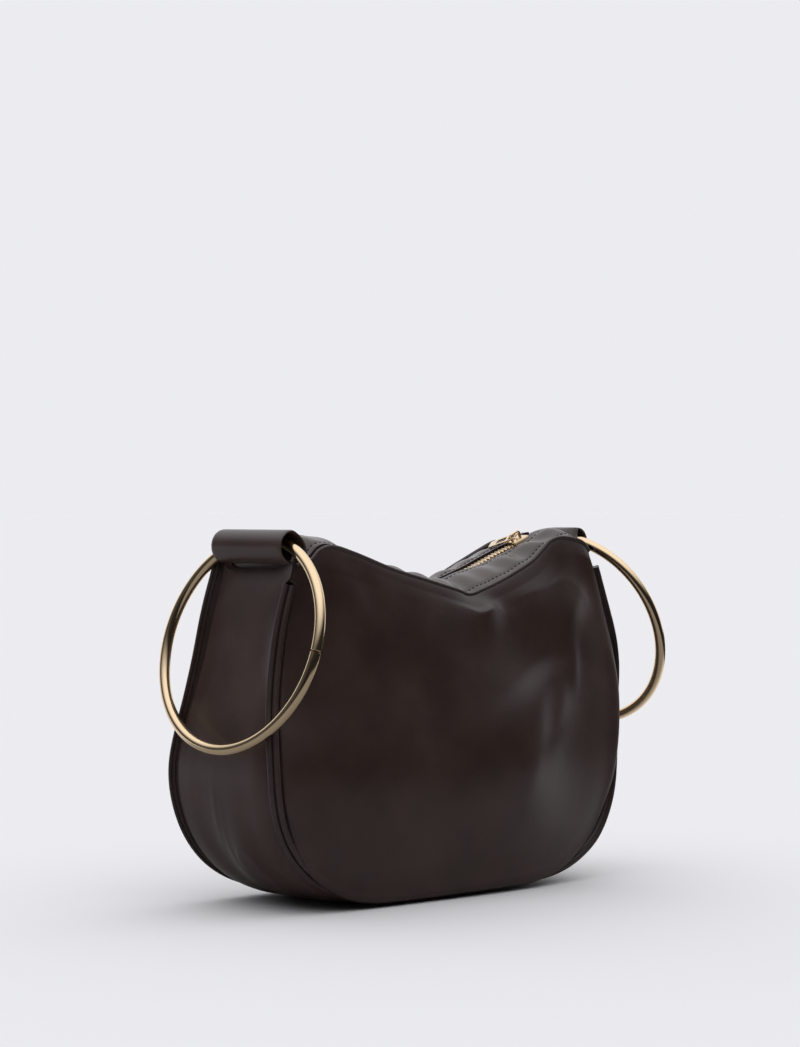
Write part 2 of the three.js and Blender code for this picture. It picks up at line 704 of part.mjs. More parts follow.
// A tab with its ring
function ringEnd(name, measures) {
  const end = new THREE.Group();
  const turned = THREE.MathUtils.degToRad(measures.turn);
  const twisted = THREE.MathUtils.degToRad(measures.twist);
  end.position.copy(rollCentre()).applyAxisAngle(AXIS_Z, turned);
  end.rotation.z = turned;
  end.add(piece(`${name}_tab`, tabGeometry(measures), LEATHER_LOOK));
  const ring = piece(`${name}_ring`, ringGeometry(measures), METAL_LOOK);
  ring.position.set(0, measures.slide, 0).applyAxisAngle(AXIS_Z, twisted);
  ring.rotation.set(0, -THREE.MathUtils.degToRad(measures.lean), twisted, 'ZYX');
  end.add(ring);
  return end;
}

const whole = new THREE.Group();
whole.add(leatherBody(), zip(), ringEnd('left', LEFT_END), ringEnd('right', RIGHT_END));

// The origin lies on the floor, under the middle of the whole handbag
const middle = new THREE.Box3().setFromObject(whole, true).getCenter(new THREE.Vector3());
whole.position.set(-middle.x, -middle.y, 0);

const handbag = new THREE.Group();
handbag.name = 'handbag';
handbag.add(whole);

export default handbag;
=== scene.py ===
"""Dark brown leather handbag with a dipped zip top and a large wire ring at each end.

The frame gives the solid pieces. This add-on dresses them: soft panels with their folds, welted seams,
stitched top strips, the zip, rolled tabs and polished rings, on a plain pale stage.
Shapes are worked out in millimetres in the bag's own frame, and meshes are written in metres.
"""

import json
import math

import bmesh
import bpy
import numpy as np
from bpy.props import FloatProperty, FloatVectorProperty, PointerProperty
from mathutils import Matrix, Vector


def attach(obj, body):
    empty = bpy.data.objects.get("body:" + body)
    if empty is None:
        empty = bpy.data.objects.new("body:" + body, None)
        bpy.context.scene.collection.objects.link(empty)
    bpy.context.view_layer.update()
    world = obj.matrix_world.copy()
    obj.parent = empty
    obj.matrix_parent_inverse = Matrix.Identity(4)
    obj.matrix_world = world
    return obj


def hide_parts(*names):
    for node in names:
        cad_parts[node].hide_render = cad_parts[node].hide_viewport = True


bl_info = {
    "name": "Ring handbag",
    "version": (1, 0, 0),
    "blender": (4, 5, 0),
    "location": "View3D > Sidebar > Handbag",
    "description": "Makes the leather, zip, rings and stage of a small handbag",
    "category": "Object",
}

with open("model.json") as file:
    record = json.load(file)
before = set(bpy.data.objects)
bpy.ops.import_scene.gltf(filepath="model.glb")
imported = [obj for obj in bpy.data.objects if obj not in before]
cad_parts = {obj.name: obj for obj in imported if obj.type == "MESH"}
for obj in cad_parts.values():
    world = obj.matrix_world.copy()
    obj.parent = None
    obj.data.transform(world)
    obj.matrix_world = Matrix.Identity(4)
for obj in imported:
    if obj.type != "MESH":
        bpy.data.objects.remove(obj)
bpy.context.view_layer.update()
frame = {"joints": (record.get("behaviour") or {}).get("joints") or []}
JOINTS = {joint["name"]: joint for joint in frame["joints"]}

MM = 0.001
LEFT_HINGE = np.array(JOINTS["left_ring_swing"]["pos_m"]) / MM
RIGHT_HINGE = np.array(JOINTS["right_ring_swing"]["pos_m"]) / MM
# The bag's own middle plane stands halfway between the two ring hinges
MIDDLE = (LEFT_HINGE + RIGHT_HINGE) / 2 * (1, 1, 0)

# Leather wall and the clearance between neighbouring pieces
LEATHER = 1.5
GAP = 0.3

# Seam outline of a panel: a straight bottom run, round corners, and sides that lean in to the top
SEAM = {
    "flat_half": 42,
    "bottom": 4.4,
    "widest_half": 111,
    "widest_at": 78,
    "corner_power": 2.4,
    "top_half": 96,
    "top_at": 159,
    "side_power": 1.9,
}
# Height, and distances of the seams from the middle plane: both seams of the left end, which is drawn
# in to a waist under its tab, and the front and back seams of the right end
SEAM_DEPTHS = [
    (0, 34.5, 34.5, 34.5),
    (40, 35.5, 35.5, 35.5),
    (66, 35.5, 35.5, 35.5),
    (97, 29.5, 34.4, 33),
    (120, 27, 32.5, 29),
    (150, 26.5, 28.5, 23),
    (175, 26.5, 27.5, 23),
]
# Height and sideways shift of the settled leather
SLUMP = [(0, -5), (35, -6.5), (62, -5.6), (97, -2), (115, -0.8), (135, -0.6), (152, 0)]

# Place along the bag and height of the panels' top edges and of the zip's line between them
LEFT_TOP = [
    (-96, 159),
    (-87, 161),
    (-81.5, 165.5),
    (-74, 167.2),
    (-60, 163.8),
    (-36, 156),
    (-13, 150.2),
    (5, 145.6),
]
FRONT_EDGE = [
    *LEFT_TOP,
    (12.5, 143.4),
    (21.5, 145.6),
    (33.7, 149.6),
    (48, 155.4),
    (56.3, 159.4),
    (64.2, 165.4),
    (68, 168.3),
    (73.5, 170.1),
    (79, 170.3),
    (87.3, 169.1),
    (92.5, 167),
    (96, 163),
]
ZIP_EDGE = [
    *LEFT_TOP,
    (13.5, 144),
    (22, 146.2),
    (40, 152),
    (55, 157.8),
    (66, 161.8),
    (70, 163.2),
    (79, 167.2),
    (85, 168.8),
]
BACK_EDGE = [
    *LEFT_TOP,
    (13.5, 143.8),
    (38, 150),
    (54, 157),
    (70, 164),
    (79, 167.4),
    (82.5, 166.8),
    (87, 159),
    (96, 157.8),
]

# Folds of a panel: place, height, turn from level in degrees, length, widths above and below the line,
# and depth into the bag
FRONT_FOLDS = [
    (17, 138.6, -22, 12, 4.5, 14, -5),
    (45, 110, 25, 24, 30, 9, 3.4),
    (71, 132, 51, 19, 30, 10, -3.3),
    (73, 108, 87, 12, 5, 3.5, -0.7),
    (60, 84, 70, 18, 7, 9, -1.2),
    (33, 66, 80, 44, 45, 33, -8.4),
    (39, 72, 78, 26, 14, 9, -1.1),
    (-66, 147, -52, 18, 6, 6, -0.4),
    (-53, 147, -58, 18, 7, 7, 0.4),
    (-10, 82, -55, 50, 22, 22, 1.6),
]
BACK_FOLDS = [
    (18, 132, 10, 26, 9, 9, -2.0),
    (-8, 116, 110, 30, 13, 13, 4.0),
    (46, 112, 65, 38, 11, 11, 3.0),
    (32, 104, 80, 26, 8, 8, -1.6),
    (-46, 92, 100, 30, 9, 9, 1.6),
    (66, 78, 85, 26, 8, 8, -1.4),
]
# Soft panel: its swell and how full that is, and how its grid is crowded towards the edges
PANEL = {"swell": 10, "fullness": 0.55, "crowding": 0.6, "fold_fade": 8, "columns": 190, "rows": 130}
# Share of the seam, and how far the soft front panel hangs over it: not at all at the left end, all the
# way along the bottom and about halfway at the right end
HANG = [
    (-1, 0),
    (-0.52, 0),
    (-0.38, 0.6),
    (-0.22, 1),
    (0.15, 1),
    (0.28, 0.75),
    (0.36, 0.56),
    (0.42, 0.48),
    (0.48, 0.52),
    (0.55, 0.63),
    (0.62, 0.65),
    (0.7, 0.58),
    (0.78, 0.44),
    (0.85, 0.38),
    (0.93, 0.46),
    (1, 0.5),
]
# The hanging edge: its inset from the seam, how far it stands in front, the roll of leather behind it,
# and how sharply its bottom and right runs meet
HANGING = {
    "inset": -2.8,
    "front": 3,
    "front_run": 8,
    "roll": 3,
    "roll_rise": 1.5,
    "roll_run": 40,
    "corner_power": 6,
}
# Rolled top edge of a panel: radius, and how far its middle lies under the edge and outside of the panel
EDGE_ROLL = {"radius": 1, "sunk": 0.1, "forward": 0.2, "sides": 14, "stations": 260}

# Share of the half seam and how far the gusset swells out there
GUSSET_SWELLS = [
    (0, 4.4),
    (0.18, 4.4),
    (0.32, 4.2),
    (0.45, 3.4),
    (0.65, 1.6),
    (0.8, -0.8),
    (0.92, 0),
    (1, 0),
]
# Gusset: its grid, how flat its swell is, how its folds fade to the edges, and the most it may stand
# out past the seam's height over the floor
GUSSET = {
    "stations": 360,
    "across": 61,
    "crowding": 1.4,
    "flat_power": 8,
    "flat_factor": 1.05,
    "fold_power": 4,
    "most_past": 2,
}
# Folds of the gusset, alike: place along the seam from the bottom's middle, place across, and so on
GUSSET_FOLDS = [
    (-106, 7, 2, 22, 1.8, 1.8, -0.9),
    (-102, 3, 2, 20, 1.8, 1.8, -0.8),
    (-98, -8, 0, 22, 11, 8, -4.2),
    (-102, 15, 0, 20, 7, 7, 1.8),
    (118, 4, -8, 26, 6, 6, -1.2),
    (112, -8, -8, 22, 6, 6, 1.1),
]
# Share of the seam, and how far the gusset's edge swells over the back seam of the left end
OVER_BACK = [(-1, 0), (-0.9, 0), (-0.72, 0.8), (-0.6, 1), (-0.35, 1), (-0.2, 0.6), (0, 0)]
OVER = {"inset": 1.8, "lift": 1.5, "run": 6}
# Lip of the gusset's top ends: rise of its corners, how near the edges that is, sag of its middle, and
# the share where it starts
LIP = {"corner": 6.5, "corner_power": 6, "middle": -2.2, "start": 0.94}

# Welt: two folded layers standing at 45 degrees in a slot between panel and gusset
WELT = {
    "top_at": 155,
    "front_left_top": 149.5,
    "back_left_top": 159.5,
    "slot_half": 2.2,
    "base": -6.2,
    "round": 1.3,
    "round_steps": 9,
    "groove": 1.3,
    "groove_half": 0.08,
    "stations": 420,
}
# Share of the seam, and half the welt's thickness there: fuller at the left end
WELT_HALVES = [(-1, 2.9), (-0.4, 2.8), (0, 2.2), (1, 2.2)]
# Share of the seam, and how far the welt's tips stand out there
FRONT_REACH = [
    (-1, 3.3),
    (-0.5, 3.2),
    (-0.36, 1),
    (-0.2, 0.2),
    (0.15, 0.5),
    (0.28, 3),
    (0.36, 4.7),
    (0.42, 5.7),
    (0.5, 5),
    (0.58, 3),
    (0.66, 1.2),
    (0.72, 1.8),
    (0.78, 3),
    (0.85, 3.7),
    (1, 3.9),
]
BACK_REACH = [(-1, 4), (-0.75, 3.6), (-0.42, 3.3), (-0.25, 1), (0, 0.5), (0.25, 1), (0.45, 3), (1, 3)]
# Stitched grooves along the welt's sides: distance from its tip, depth and half width
WELT_GROOVES = {"below_tip": (1.9, 3.7), "depth": 0.4, "half": 0.35}

# Top strips beside the zip: their ends and inner edge, the outer edge's depth under the panel's, their
# crown at the zip and puff beside it, and how far the front one is cut back at the right end
FACING = {
    "start": -88.9,
    "end": 88,
    "inner": 5.5,
    "lip": 1,
    "crown": 3,
    "puff": 1.5,
    "cut": 2.5,
    "cut_run": 16,
}
# Rise of the strips towards the tabs: its height, where it starts at both ends, its run, and the
# distance in front of the zip where it is full at the right end
CREST = {"height": 1.8, "left": -62, "left_run": 16, "right": 72, "right_run": 12, "beside": 12}
FACING_GRID = {"stations": 280, "across": 40}
# Puckers of the strips: spacing, height, a finer ripple on them, and the dip that each stitch row pulls
PUCKER = {
    "spacing": 15,
    "height": 0.75,
    "ripple": 0.6,
    "ripple_run": 2.9,
    "pulled": 0.35,
    "pull_width": 0.9,
}
# Front strip beside the dip, puffed up so that it covers the teeth: place, half length, height and how
# fast it falls off from the zip
PUFF = {"at": 20, "run": 21, "height": 2.8, "fall": 0.7}
# Stitch rows, from the strip's own edges, and how far they lie above it
STITCH_ROWS = {"from_zip": 2.3, "from_edge": 2.6, "from_ends": 3, "lift": 0.05}

# Widths of rubbed edges: shares of a panel's height, of half the gusset's and a tab's width and of a
# top strip's width and length, and millimetres down from a welt's tip
RUBBED = {"panel": 0.015, "gusset": 0.06, "tab": 0.03, "strip_side": 0.05, "strip_end": 0.012, "welt": 0.9}

# Metal plates cut from outlines: steps of a round corner and of a rounded edge, and the distance within
# which points are joined
PLATE = {"arc_steps": 6, "bevel_steps": 2, "weld": 0.001}
# Zip: the tape, the teeth, the slider that rides on them, its bridge and the pull
TAPE = {"half": 9.5, "flat_half": 4.8, "thick": 0.8, "drop": 2.1, "across": 32}
TEETH = {"start": -78, "end": 78.5, "pitch": 2.5, "high": 2.3, "long": 3.7, "wide": 1.05, "aside": 0.75}
SLIDER = {
    "at": 73,
    "length": 9.5,
    "outer": 4.1,
    "inner": 2.95,
    "skirt": -2,
    "underside": 0.45,
    "topside": 1.5,
    "corner": 0.5,
    "tail": 0.24,
    "bevel": 0.22,
}
BRIDGE = {
    "outer": 3.3,
    "inner": 2.4,
    "top": 5.1,
    "wall": 0.9,
    "corner": 1.4,
    "width": 1.5,
    "bevel": 0.28,
}
PULL = {
    "bar_height": 3,
    "yaw": 60,
    "tilt": 8,
    "length": 14.5,
    "half": 4.1,
    "bar": 0.8,
    "thick": 0.8,
    "eye_length": 3.6,
    "window": (5.2, 10.6),
    "window_half": 2.6,
    "corner": 1.1,
    "eye_corner": 0.3,
    "window_corner": 0.7,
    "bevel": 0.26,
}

# Rings and the rolled tabs that hold them
RING = {
    "radius": 50,
    "wire": 2.6,
    "steps": 220,
    "sides": 36,
    "joint_gap": 0.3,
    "joint_below": 2.4,
    "chamfer": 0.35,
}
# Tab: its roll runs from the bag over the ring and back under it, through two angles in degrees. Its
# leather is wider where the roll starts, thins out to its side edges, and is drawn straight to the bag
# towards its ends
TAB = {
    "inside": 6.6,
    "thick": 1.3,
    "roll_start": 180,
    "roll_end": -138,
    "roll_steps": 44,
    "flare": 2.8,
    "flare_steps": 12,
    "across": 45,
    "crowding": 1.8,
    "edge_power": 40,
    "edge_least": 0.2,
    "straight_to": 75,
    "drawn_share": 0.5,
    "sag_reach": 1.3,
    "sag_foot": -2,
    "sag_rise": 8,
}
# Leather below the roll, on the bag's side and outside: out, up, extra half width and share of the
# roll's twist
TAB_INNER = [(-8, -13.5, -3, 0), (-8, -9, -2, 0.1), (-7.9, -5, 0.5, 0.4), (-7.5, -2, 2.4, 0.8)]
TAB_OUTER = [(-6.4, -6.6, -2.5, 0.6), (-6.65, -9.5, -3.5, 0.2), (-6.65, -13.5, -3.5, 0)]
# Where it is drawn straight: out and up of its last two points on the bag's side, and of the straight
# foot
TAB_DRAWN = [(-8.1, -6.6), (-8.2, -4.6)]
TAB_FOOT = (-8.2, -4.2)
# The two ends: turn of the end, lean of the ring and twist of the roll, in degrees; reach of the roll
# to its two sides; how far the ring has slid along it; and shares of the ring's curve that the roll
# sags along and of the way that its ends are drawn straight
ENDS = {
    "left": {
        "hinge": LEFT_HINGE,
        "turn": 180,
        "lean": 16.7,
        "twist": 3.5,
        "near": -22,
        "far": 24.5,
        "slide": 4.2,
        "sag": 0,
        "drawn": 0.2,
    },
    "right": {
        "hinge": RIGHT_HINGE,
        "turn": 0,
        "lean": 20.5,
        "twist": 10,
        "near": -17,
        "far": 19,
        "slide": -3.7,
        "sag": 1.05,
        "drawn": 1,
    },
}

# The photograph: its size in pixels, the focal length in pixels, and the aim point in the bag's frame
# with its pixel
PHOTO = {"width": 800, "height": 1047, "focal": 2800, "aim_pixel": (407, 541.8), "aim": (-2.3, 0, 168.5)}
SENSOR = 36

# Finishes: cells and bands per metre, strengths, darkest and lightest tones as shares of a colour,
# roughness, and relief in metres
FINISH = {
    "pebble": 0.6,
    "leather_tones": (0.82, 1.2),
    "leather_rough": 0.04,
    "thread_dark": 0.7,
    "thread_rough": (0.5, 0.65),
    "thread_relief": 0.00008,
    "tape_dark": 0.55,
    "tape_rough": (0.75, 0.9),
    "tape_relief": 0.00012,
    "tape_ribs": 260,
    "tape_waver": 0.8,
    "gold_dark": 0.9,
    "gold_rough": (0.8, 1.25),
    "gold_relief": 0.000006,
    "scratch_stretch": (1, 1, 14),
}
# Scale per metre and detail of each noise, and the range that a noise mostly keeps to
NOISE = {
    "creases": (260, 6),
    "tone": (38, 4),
    "rubbing": (300, 5),
    "scratches": (420, 6),
    "smudges": (90, 4),
    "thread": (2600, 2),
}
NOISE_RANGE = (0.3, 0.7)

# Floor, in metres: its half width; the sheet that lights the bag, from dark to bright at its near and
# right edges, how far it widens with distance from the camera and how bright it is beyond its edges;
# and the run behind the bag's middle over which mirrored light comes back in full
FLOOR = {
    "half": 60,
    "near": (-0.7, -0.52),
    "right": (0.16, 0.06),
    "widening": 0.165,
    "beyond": 0.05,
    "mirrored": (0, 0.15),
}
# Light: how squarely a direction points to each surface where that is still dark and where it is fully
# bright
LIGHT = {"wall": (0.15, 0.65), "window": (-0.3, -0.95), "ceiling": (0.3, 0.85)}


class HandbagLooks(bpy.types.PropertyGroup):
    """Colours and small sizes of the handbag."""

    leather: FloatVectorProperty(
        name="Leather",
        description="Colour of the smooth leather",
        subtype="COLOR",
        default=(0.0495, 0.0288, 0.0238),
    )
    leather_light: FloatVectorProperty(
        name="Rubbed leather",
        description="Colour of the leather where edges have rubbed",
        subtype="COLOR",
        default=(0.085, 0.062, 0.058),
    )
    thread: FloatVectorProperty(
        name="Thread",
        description="Colour of the sewing thread",
        subtype="COLOR",
        default=(0.008, 0.006, 0.006),
    )
    tape: FloatVectorProperty(
        name="Zip tape",
        description="Colour of the woven zip tape",
        subtype="COLOR",
        default=(0.022, 0.016, 0.017),
    )
    gold: FloatVectorProperty(
        name="Gold",
        description="Colour of the polished light gold metal",
        subtype="COLOR",
        default=(0.83, 0.64, 0.41),
    )
    grain: FloatProperty(
        name="Grain",
        description="Height of the leather's grain",
        subtype="DISTANCE",
        unit="LENGTH",
        default=0.00004,
    )
    stitch_pitch: FloatProperty(
        name="Stitch pitch",
        description="Distance from one stitch to the next",
        subtype="DISTANCE",
        unit="LENGTH",
        default=0.0028,
    )
    thread_size: FloatVectorProperty(
        name="Stitch size",
        description="Length, width and height of one stitch",
        subtype="XYZ",
        unit="LENGTH",
        default=(0.0021, 0.0007, 0.0006),
    )


class HandbagStage(bpy.types.PropertyGroup):
    """View, floor and light round the handbag."""

    azimuth: FloatProperty(
        name="Azimuth",
        description="How far the camera stands to the left of the bag's front",
        subtype="ANGLE",
        default=math.radians(42.51),
    )
    tilt: FloatProperty(
        name="Tilt",
        description="How far the camera looks down",
        subtype="ANGLE",
        default=math.radians(0.36),
    )
    distance: FloatProperty(
        name="Distance",
        description="Distance from the camera to the aim point",
        subtype="DISTANCE",
        unit="LENGTH",
        default=1.358,
    )
    backdrop: FloatVectorProperty(
        name="Backdrop",
        description="Pale colour of the floor and of what lies behind the bag",
        subtype="COLOR",
        default=(0.838, 0.838, 0.871),
    )
    floor_glow: FloatProperty(
        name="Floor glow",
        description="Share of the light in front of the bag that its smooth pieces mirror",
        subtype="FACTOR",
        default=0.36,
        min=0,
        max=1,
    )
    floor_share: FloatProperty(
        name="Floor share",
        description="Share of the light that the floor gives back",
        subtype="FACTOR",
        default=0.92,
        min=0,
        max=1,
    )
    ceiling: FloatProperty(
        name="Ceiling",
        description="Brightness of the soft light overhead",
        default=1.24,
    )
    wall: FloatProperty(
        name="Wall",
        description="Brightness of the wall behind the bag",
        default=1.0,
    )
    window: FloatProperty(
        name="Window",
        description="Brightness of the soft light on the left",
        default=0.07,
    )
    room: FloatProperty(
        name="Room",
        description="Brightness of the room behind the camera",
        default=0.02,
    )


def smooth(rows, at, column=1):
    """A column's value on the smooth curve through rows that start with a place, level past both ends."""
    table = np.array(rows, float)
    place, value = table[:, 0], table[:, column]
    count = len(place)
    ahead = np.minimum(np.arange(count) + 1, count - 1)
    behind = np.maximum(np.arange(count) - 1, 0)
    slope = (value[ahead] - value[behind]) / (place[ahead] - place[behind])
    at = np.clip(np.asarray(at, float), place[0], place[-1])
    i = np.clip(np.searchsorted(place, at, side="right") - 1, 0, count - 2)
    span = place[i + 1] - place[i]
    t = (at - place[i]) / span
    start = value[i] * (1 + 2 * t) * (1 - t) ** 2 + slope[i] * span * t * (1 - t) ** 2
    end = value[i + 1] * t * t * (3 - 2 * t) + slope[i + 1] * span * t * t * (t - 1)
    return start + end


def lerp(a, b, t):
    return a + (b - a) * t


def eased(t):
    """A share from 0 to 1, made level at both ends."""
    return t * t * (3 - 2 * t)


def rub(away, width):
    """How far leather is rubbed: fully at an edge, and not at all from a width away."""
    return np.clip(1 - away / width, 0, 1)


def depth_at(side, x, z):
    """Distance of a seam from the middle plane; side is below 0 in front and above 0 behind."""
    t = np.clip((x + SEAM["widest_half"]) / (2 * SEAM["widest_half"]), 0, 1)
    right = np.where(np.asarray(side) < 0, smooth(SEAM_DEPTHS, z, 2), smooth(SEAM_DEPTHS, z, 3))
    return lerp(smooth(SEAM_DEPTHS, z, 1), right, eased(t))


class SeamLine:
    """A panel's seam, from share -1 at its left top end over 0 at the bottom to 1 at its right top end."""

    SAMPLES = 3001

    def __init__(self):
        # One unit each for the bottom run, the round corner and the leaning side
        part = np.linspace(0, 3, self.SAMPLES)
        power = 2 / SEAM["corner_power"]
        angle = (np.clip(part, 1, 2) - 1) * math.pi / 2
        reach = (SEAM["widest_half"] - SEAM["flat_half"]) * np.sin(angle) ** power
        drop = (SEAM["widest_at"] - SEAM["bottom"]) * np.maximum(np.cos(angle), 0) ** power
        rise = np.clip(part - 2, 0, 1)
        lean = (SEAM["widest_half"] - SEAM["top_half"]) * rise ** SEAM["side_power"]
        x = SEAM["flat_half"] * np.minimum(part, 1) + reach - lean
        z = SEAM["widest_at"] - drop + (SEAM["top_at"] - SEAM["widest_at"]) * rise
        steps = np.hypot(np.diff(x), np.diff(z))
        self.length = steps.sum()
        self.share = np.r_[0, np.cumsum(steps)] / self.length
        self.x, self.z = x, z
        run = np.hypot(np.gradient(x), np.gradient(z))
        self.tangent_x = np.gradient(x) / run
        self.tangent_z = np.gradient(z) / run

    def at(self, share):
        """Place and the directions out of the bag and up along the seam, each as (x, z)."""
        share = np.asarray(share, float)
        side = np.where(share < 0, -1.0, 1.0)
        x, z, tx, tz = (
            np.interp(np.abs(share), self.share, line)
            for line in (self.x, self.z, self.tangent_x, self.tangent_z)
        )
        place = np.stack([side * x, z], -1)
        out = np.stack([side * tz, -tx], -1)
        up = np.stack([side * tx, tz], -1)
        return place, out, up

    def share_at(self, height):
        return float(np.interp(height, self.z, self.share))


SEAM_LINE = SeamLine()
WELT_END = SEAM_LINE.share_at(WELT["top_at"])
SLOT_END = SEAM_LINE.share_at(WELT["top_at"] + GAP * 2)
FRONT_LEFT_END = SEAM_LINE.share_at(WELT["front_left_top"] + GAP)
# Share in the middle of the round corner, where a panel's grid turns from its bottom to its side
CORNER = (SEAM_LINE.share_at(SEAM["widest_at"]) + SEAM["flat_half"] / SEAM_LINE.length) / 2
WELT_INSET = (WELT["slot_half"] + GAP) * math.sqrt(2)
# Share of the seam over which panel and gusset close up above a welt
CLOSING = 0.008


def edge_inset(share, side):
    """How far panel and gusset stay back from the seam: for the welt's slot, and above it for a mitre."""
    end = np.where((share < 0) & (np.asarray(side) < 0), FRONT_LEFT_END, SLOT_END)
    return lerp(WELT_INSET, GAP, np.clip((np.abs(share) - end) / CLOSING, 0, 1))


def fold_depth(folds, x, z):
    """Depth of all the folds at places on a leather piece."""
    depth = np.zeros(np.broadcast(x, z).shape)
    for fold_x, fold_z, turn, length, above, below, dent in folds:
        angle = math.radians(turn)
        along = (x - fold_x) * math.cos(angle) + (z - fold_z) * math.sin(angle)
        across = (z - fold_z) * math.cos(angle) - (x - fold_x) * math.sin(angle)
        width = np.where(across > 0, above, below)
        depth += dent * np.exp(-((along / length) ** 2) - (across / width) ** 2)
    return depth


def slumped(points):
    """Points of the soft leather, moved sideways as the bag has settled."""
    moved = np.array(points, float)
    moved[..., 0] += smooth(SLUMP, moved[..., 2])
    return moved


def top_depth(side, x):
    return depth_at(side, x, smooth(ZIP_EDGE, x))


def facing_height(x, y):
    """Height of the top strips' upper face, without their puckers."""
    across = np.abs(y) / top_depth(y, x)
    middle = smooth(ZIP_EDGE, x) + FACING["crown"]
    edge = np.where(np.asarray(y) < 0, smooth(FRONT_EDGE, x), smooth(ZIP_EDGE, x)) - FACING["lip"]
    left = np.clip((CREST["left"] - x) / CREST["left_run"], 0, 1)
    right = np.clip((x - CREST["right"]) / CREST["right_run"], 0, 1)
    right = right * np.clip(-np.asarray(y) / CREST["beside"], 0, 1)
    puff = FACING["puff"] * np.sin(math.pi * across)
    return lerp(middle, edge, across**2) + puff + CREST["height"] * (left + right)


def facing_place(share, y):
    """Place along the bag, a share along the top strips.

    Their ends are cut along the twisted tabs, and the front one's right end is cut back from the tab.
    """
    start = FACING["start"] - y * math.tan(math.radians(ENDS["left"]["twist"]))
    end = FACING["end"] - y * math.tan(math.radians(ENDS["right"]["twist"]))
    cut = FACING["cut"] * np.clip((-y - FACING["inner"]) / FACING["cut_run"], 0, 1)
    return lerp(start, end - cut, share)


def grid_quads(rows, columns, start=0, ring=False):
    """Quads between the points of a grid, closed round its columns if it is a ring."""
    index = np.arange(rows * columns).reshape(rows, columns) + start
    if ring:
        index = np.c_[index, index[:, 0]]
    corners = [index[:-1, :-1], index[:-1, 1:], index[1:, 1:], index[1:, :-1]]
    return np.stack(corners, -1).reshape(-1, 4)


class Body:
    """Points and faces of a piece in millimetres, joined from walls, bars and plates."""

    def __init__(self):
        self.points = np.zeros((0, 3))
        self.faces = []
        self.wear = np.zeros(0)

    def join(self, points, faces, wear=None):
        points = np.asarray(points, float).reshape(-1, 3)
        start = len(self.points)
        faces = [[int(k) for k in face] for face in faces]
        if signed_volume(points, faces) < 0:
            faces = [face[::-1] for face in faces]
        self.points = np.r_[self.points, points]
        self.faces += [[k + start for k in face] for face in faces]
        self.wear = np.r_[self.wear, np.zeros(len(points)) if wear is None else np.ravel(wear)]
        return self

    def wall(self, outer, inner, wear=None):
        """A wall between two matching grids, closed along its four edges."""
        rows, columns = outer.shape[:2]
        count = rows * columns
        index = np.arange(count).reshape(rows, columns)
        rim = np.r_[index[0, :], index[1:, -1], index[-1, -2::-1], index[-2:0:-1, 0]]
        closing = np.c_[rim, np.r_[rim[1:], rim[0]]]
        edge = np.c_[closing[:, ::-1], closing + count]
        faces = [*grid_quads(rows, columns), *grid_quads(rows, columns, count)[:, ::-1], *edge]
        both = None if wear is None else np.r_[np.ravel(wear), np.ravel(wear)]
        return self.join(np.r_[outer.reshape(-1, 3), inner.reshape(-1, 3)], faces, both)

    def bar(self, sections, wear=None):
        """A bar through matching closed sections, with flat ends."""
        rows, columns = sections.shape[:2]
        ends = [np.arange(columns)[::-1], np.arange(columns) + (rows - 1) * columns]
        return self.join(sections, [*grid_quads(rows, columns, ring=True), *ends], wear)


def signed_volume(points, faces):
    """Six times the volume inside faces, above 0 where they point out."""
    total = 0.0
    for size in {len(face) for face in faces}:
        group = np.array([face for face in faces if len(face) == size])
        for k in range(1, size - 1):
            a, b, c = points[group[:, 0]], points[group[:, k]], points[group[:, k + 1]]
            total += np.einsum("ij,ij->", a, np.cross(b, c))
    return total


def new_object(name, mesh):
    made = bpy.data.objects.new(name, mesh)
    bpy.context.scene.collection.objects.link(made)
    return made


def settle(piece, body, slot, *nodes):
    """Lets a finished piece ride on its body and stand for its solid pieces."""
    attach(piece, body)
    if nodes:
        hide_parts(*nodes)
    return piece


def make_piece(name, shape, material, sharp=50):
    """An object with a shape's mesh, smooth except at edges sharper than an angle in degrees."""
    mesh = bpy.data.meshes.new(name)
    mesh.from_pydata(((shape.points + MIDDLE) * MM).tolist(), [], shape.faces)
    wear = mesh.attributes.new("wear", "FLOAT", "POINT")
    wear.data.foreach_set("value", shape.wear.astype(np.float32))
    mesh.shade_smooth()
    mesh.set_sharp_from_angle(angle=math.radians(sharp))
    mesh.materials.append(material)
    return new_object(name, mesh)


def crowded(count):
    """Shares from 0 to 1 of a panel's grid, crowded towards both ends."""
    t = np.linspace(0, 1, count + 1)
    return t - PANEL["crowding"] * np.sin(2 * math.pi * t) / (2 * math.pi)


def edged(count, power):
    """Shares from -1 to 1 across a strip, crowded towards both edges."""
    across = np.linspace(-1, 1, count)
    return np.sign(across) * (1 - (1 - np.abs(across)) ** power)


def hang_at(share, side):
    """How far a panel hangs over its seam: only the front panel does."""
    return smooth(HANG, share) * (side < 0)


def seam_edge(share, side):
    """Places (x, z) of a panel's edge beside its seam."""
    place, out, _ = SEAM_LINE.at(share)
    inset = lerp(edge_inset(share, side), HANGING["inset"], hang_at(share, side))
    return place - out * inset[..., None]


def hanging(hang, away):
    """How far the leather stands in front of the seam, at a distance in from an edge that hangs over it."""
    edge = HANGING["front"] * np.exp(-((away / HANGING["front_run"]) ** 2))
    rise = 1 - np.exp(-away / HANGING["roll_rise"])
    return hang * (edge + HANGING["roll"] * rise * np.exp(-((away / HANGING["roll_run"]) ** 2)))


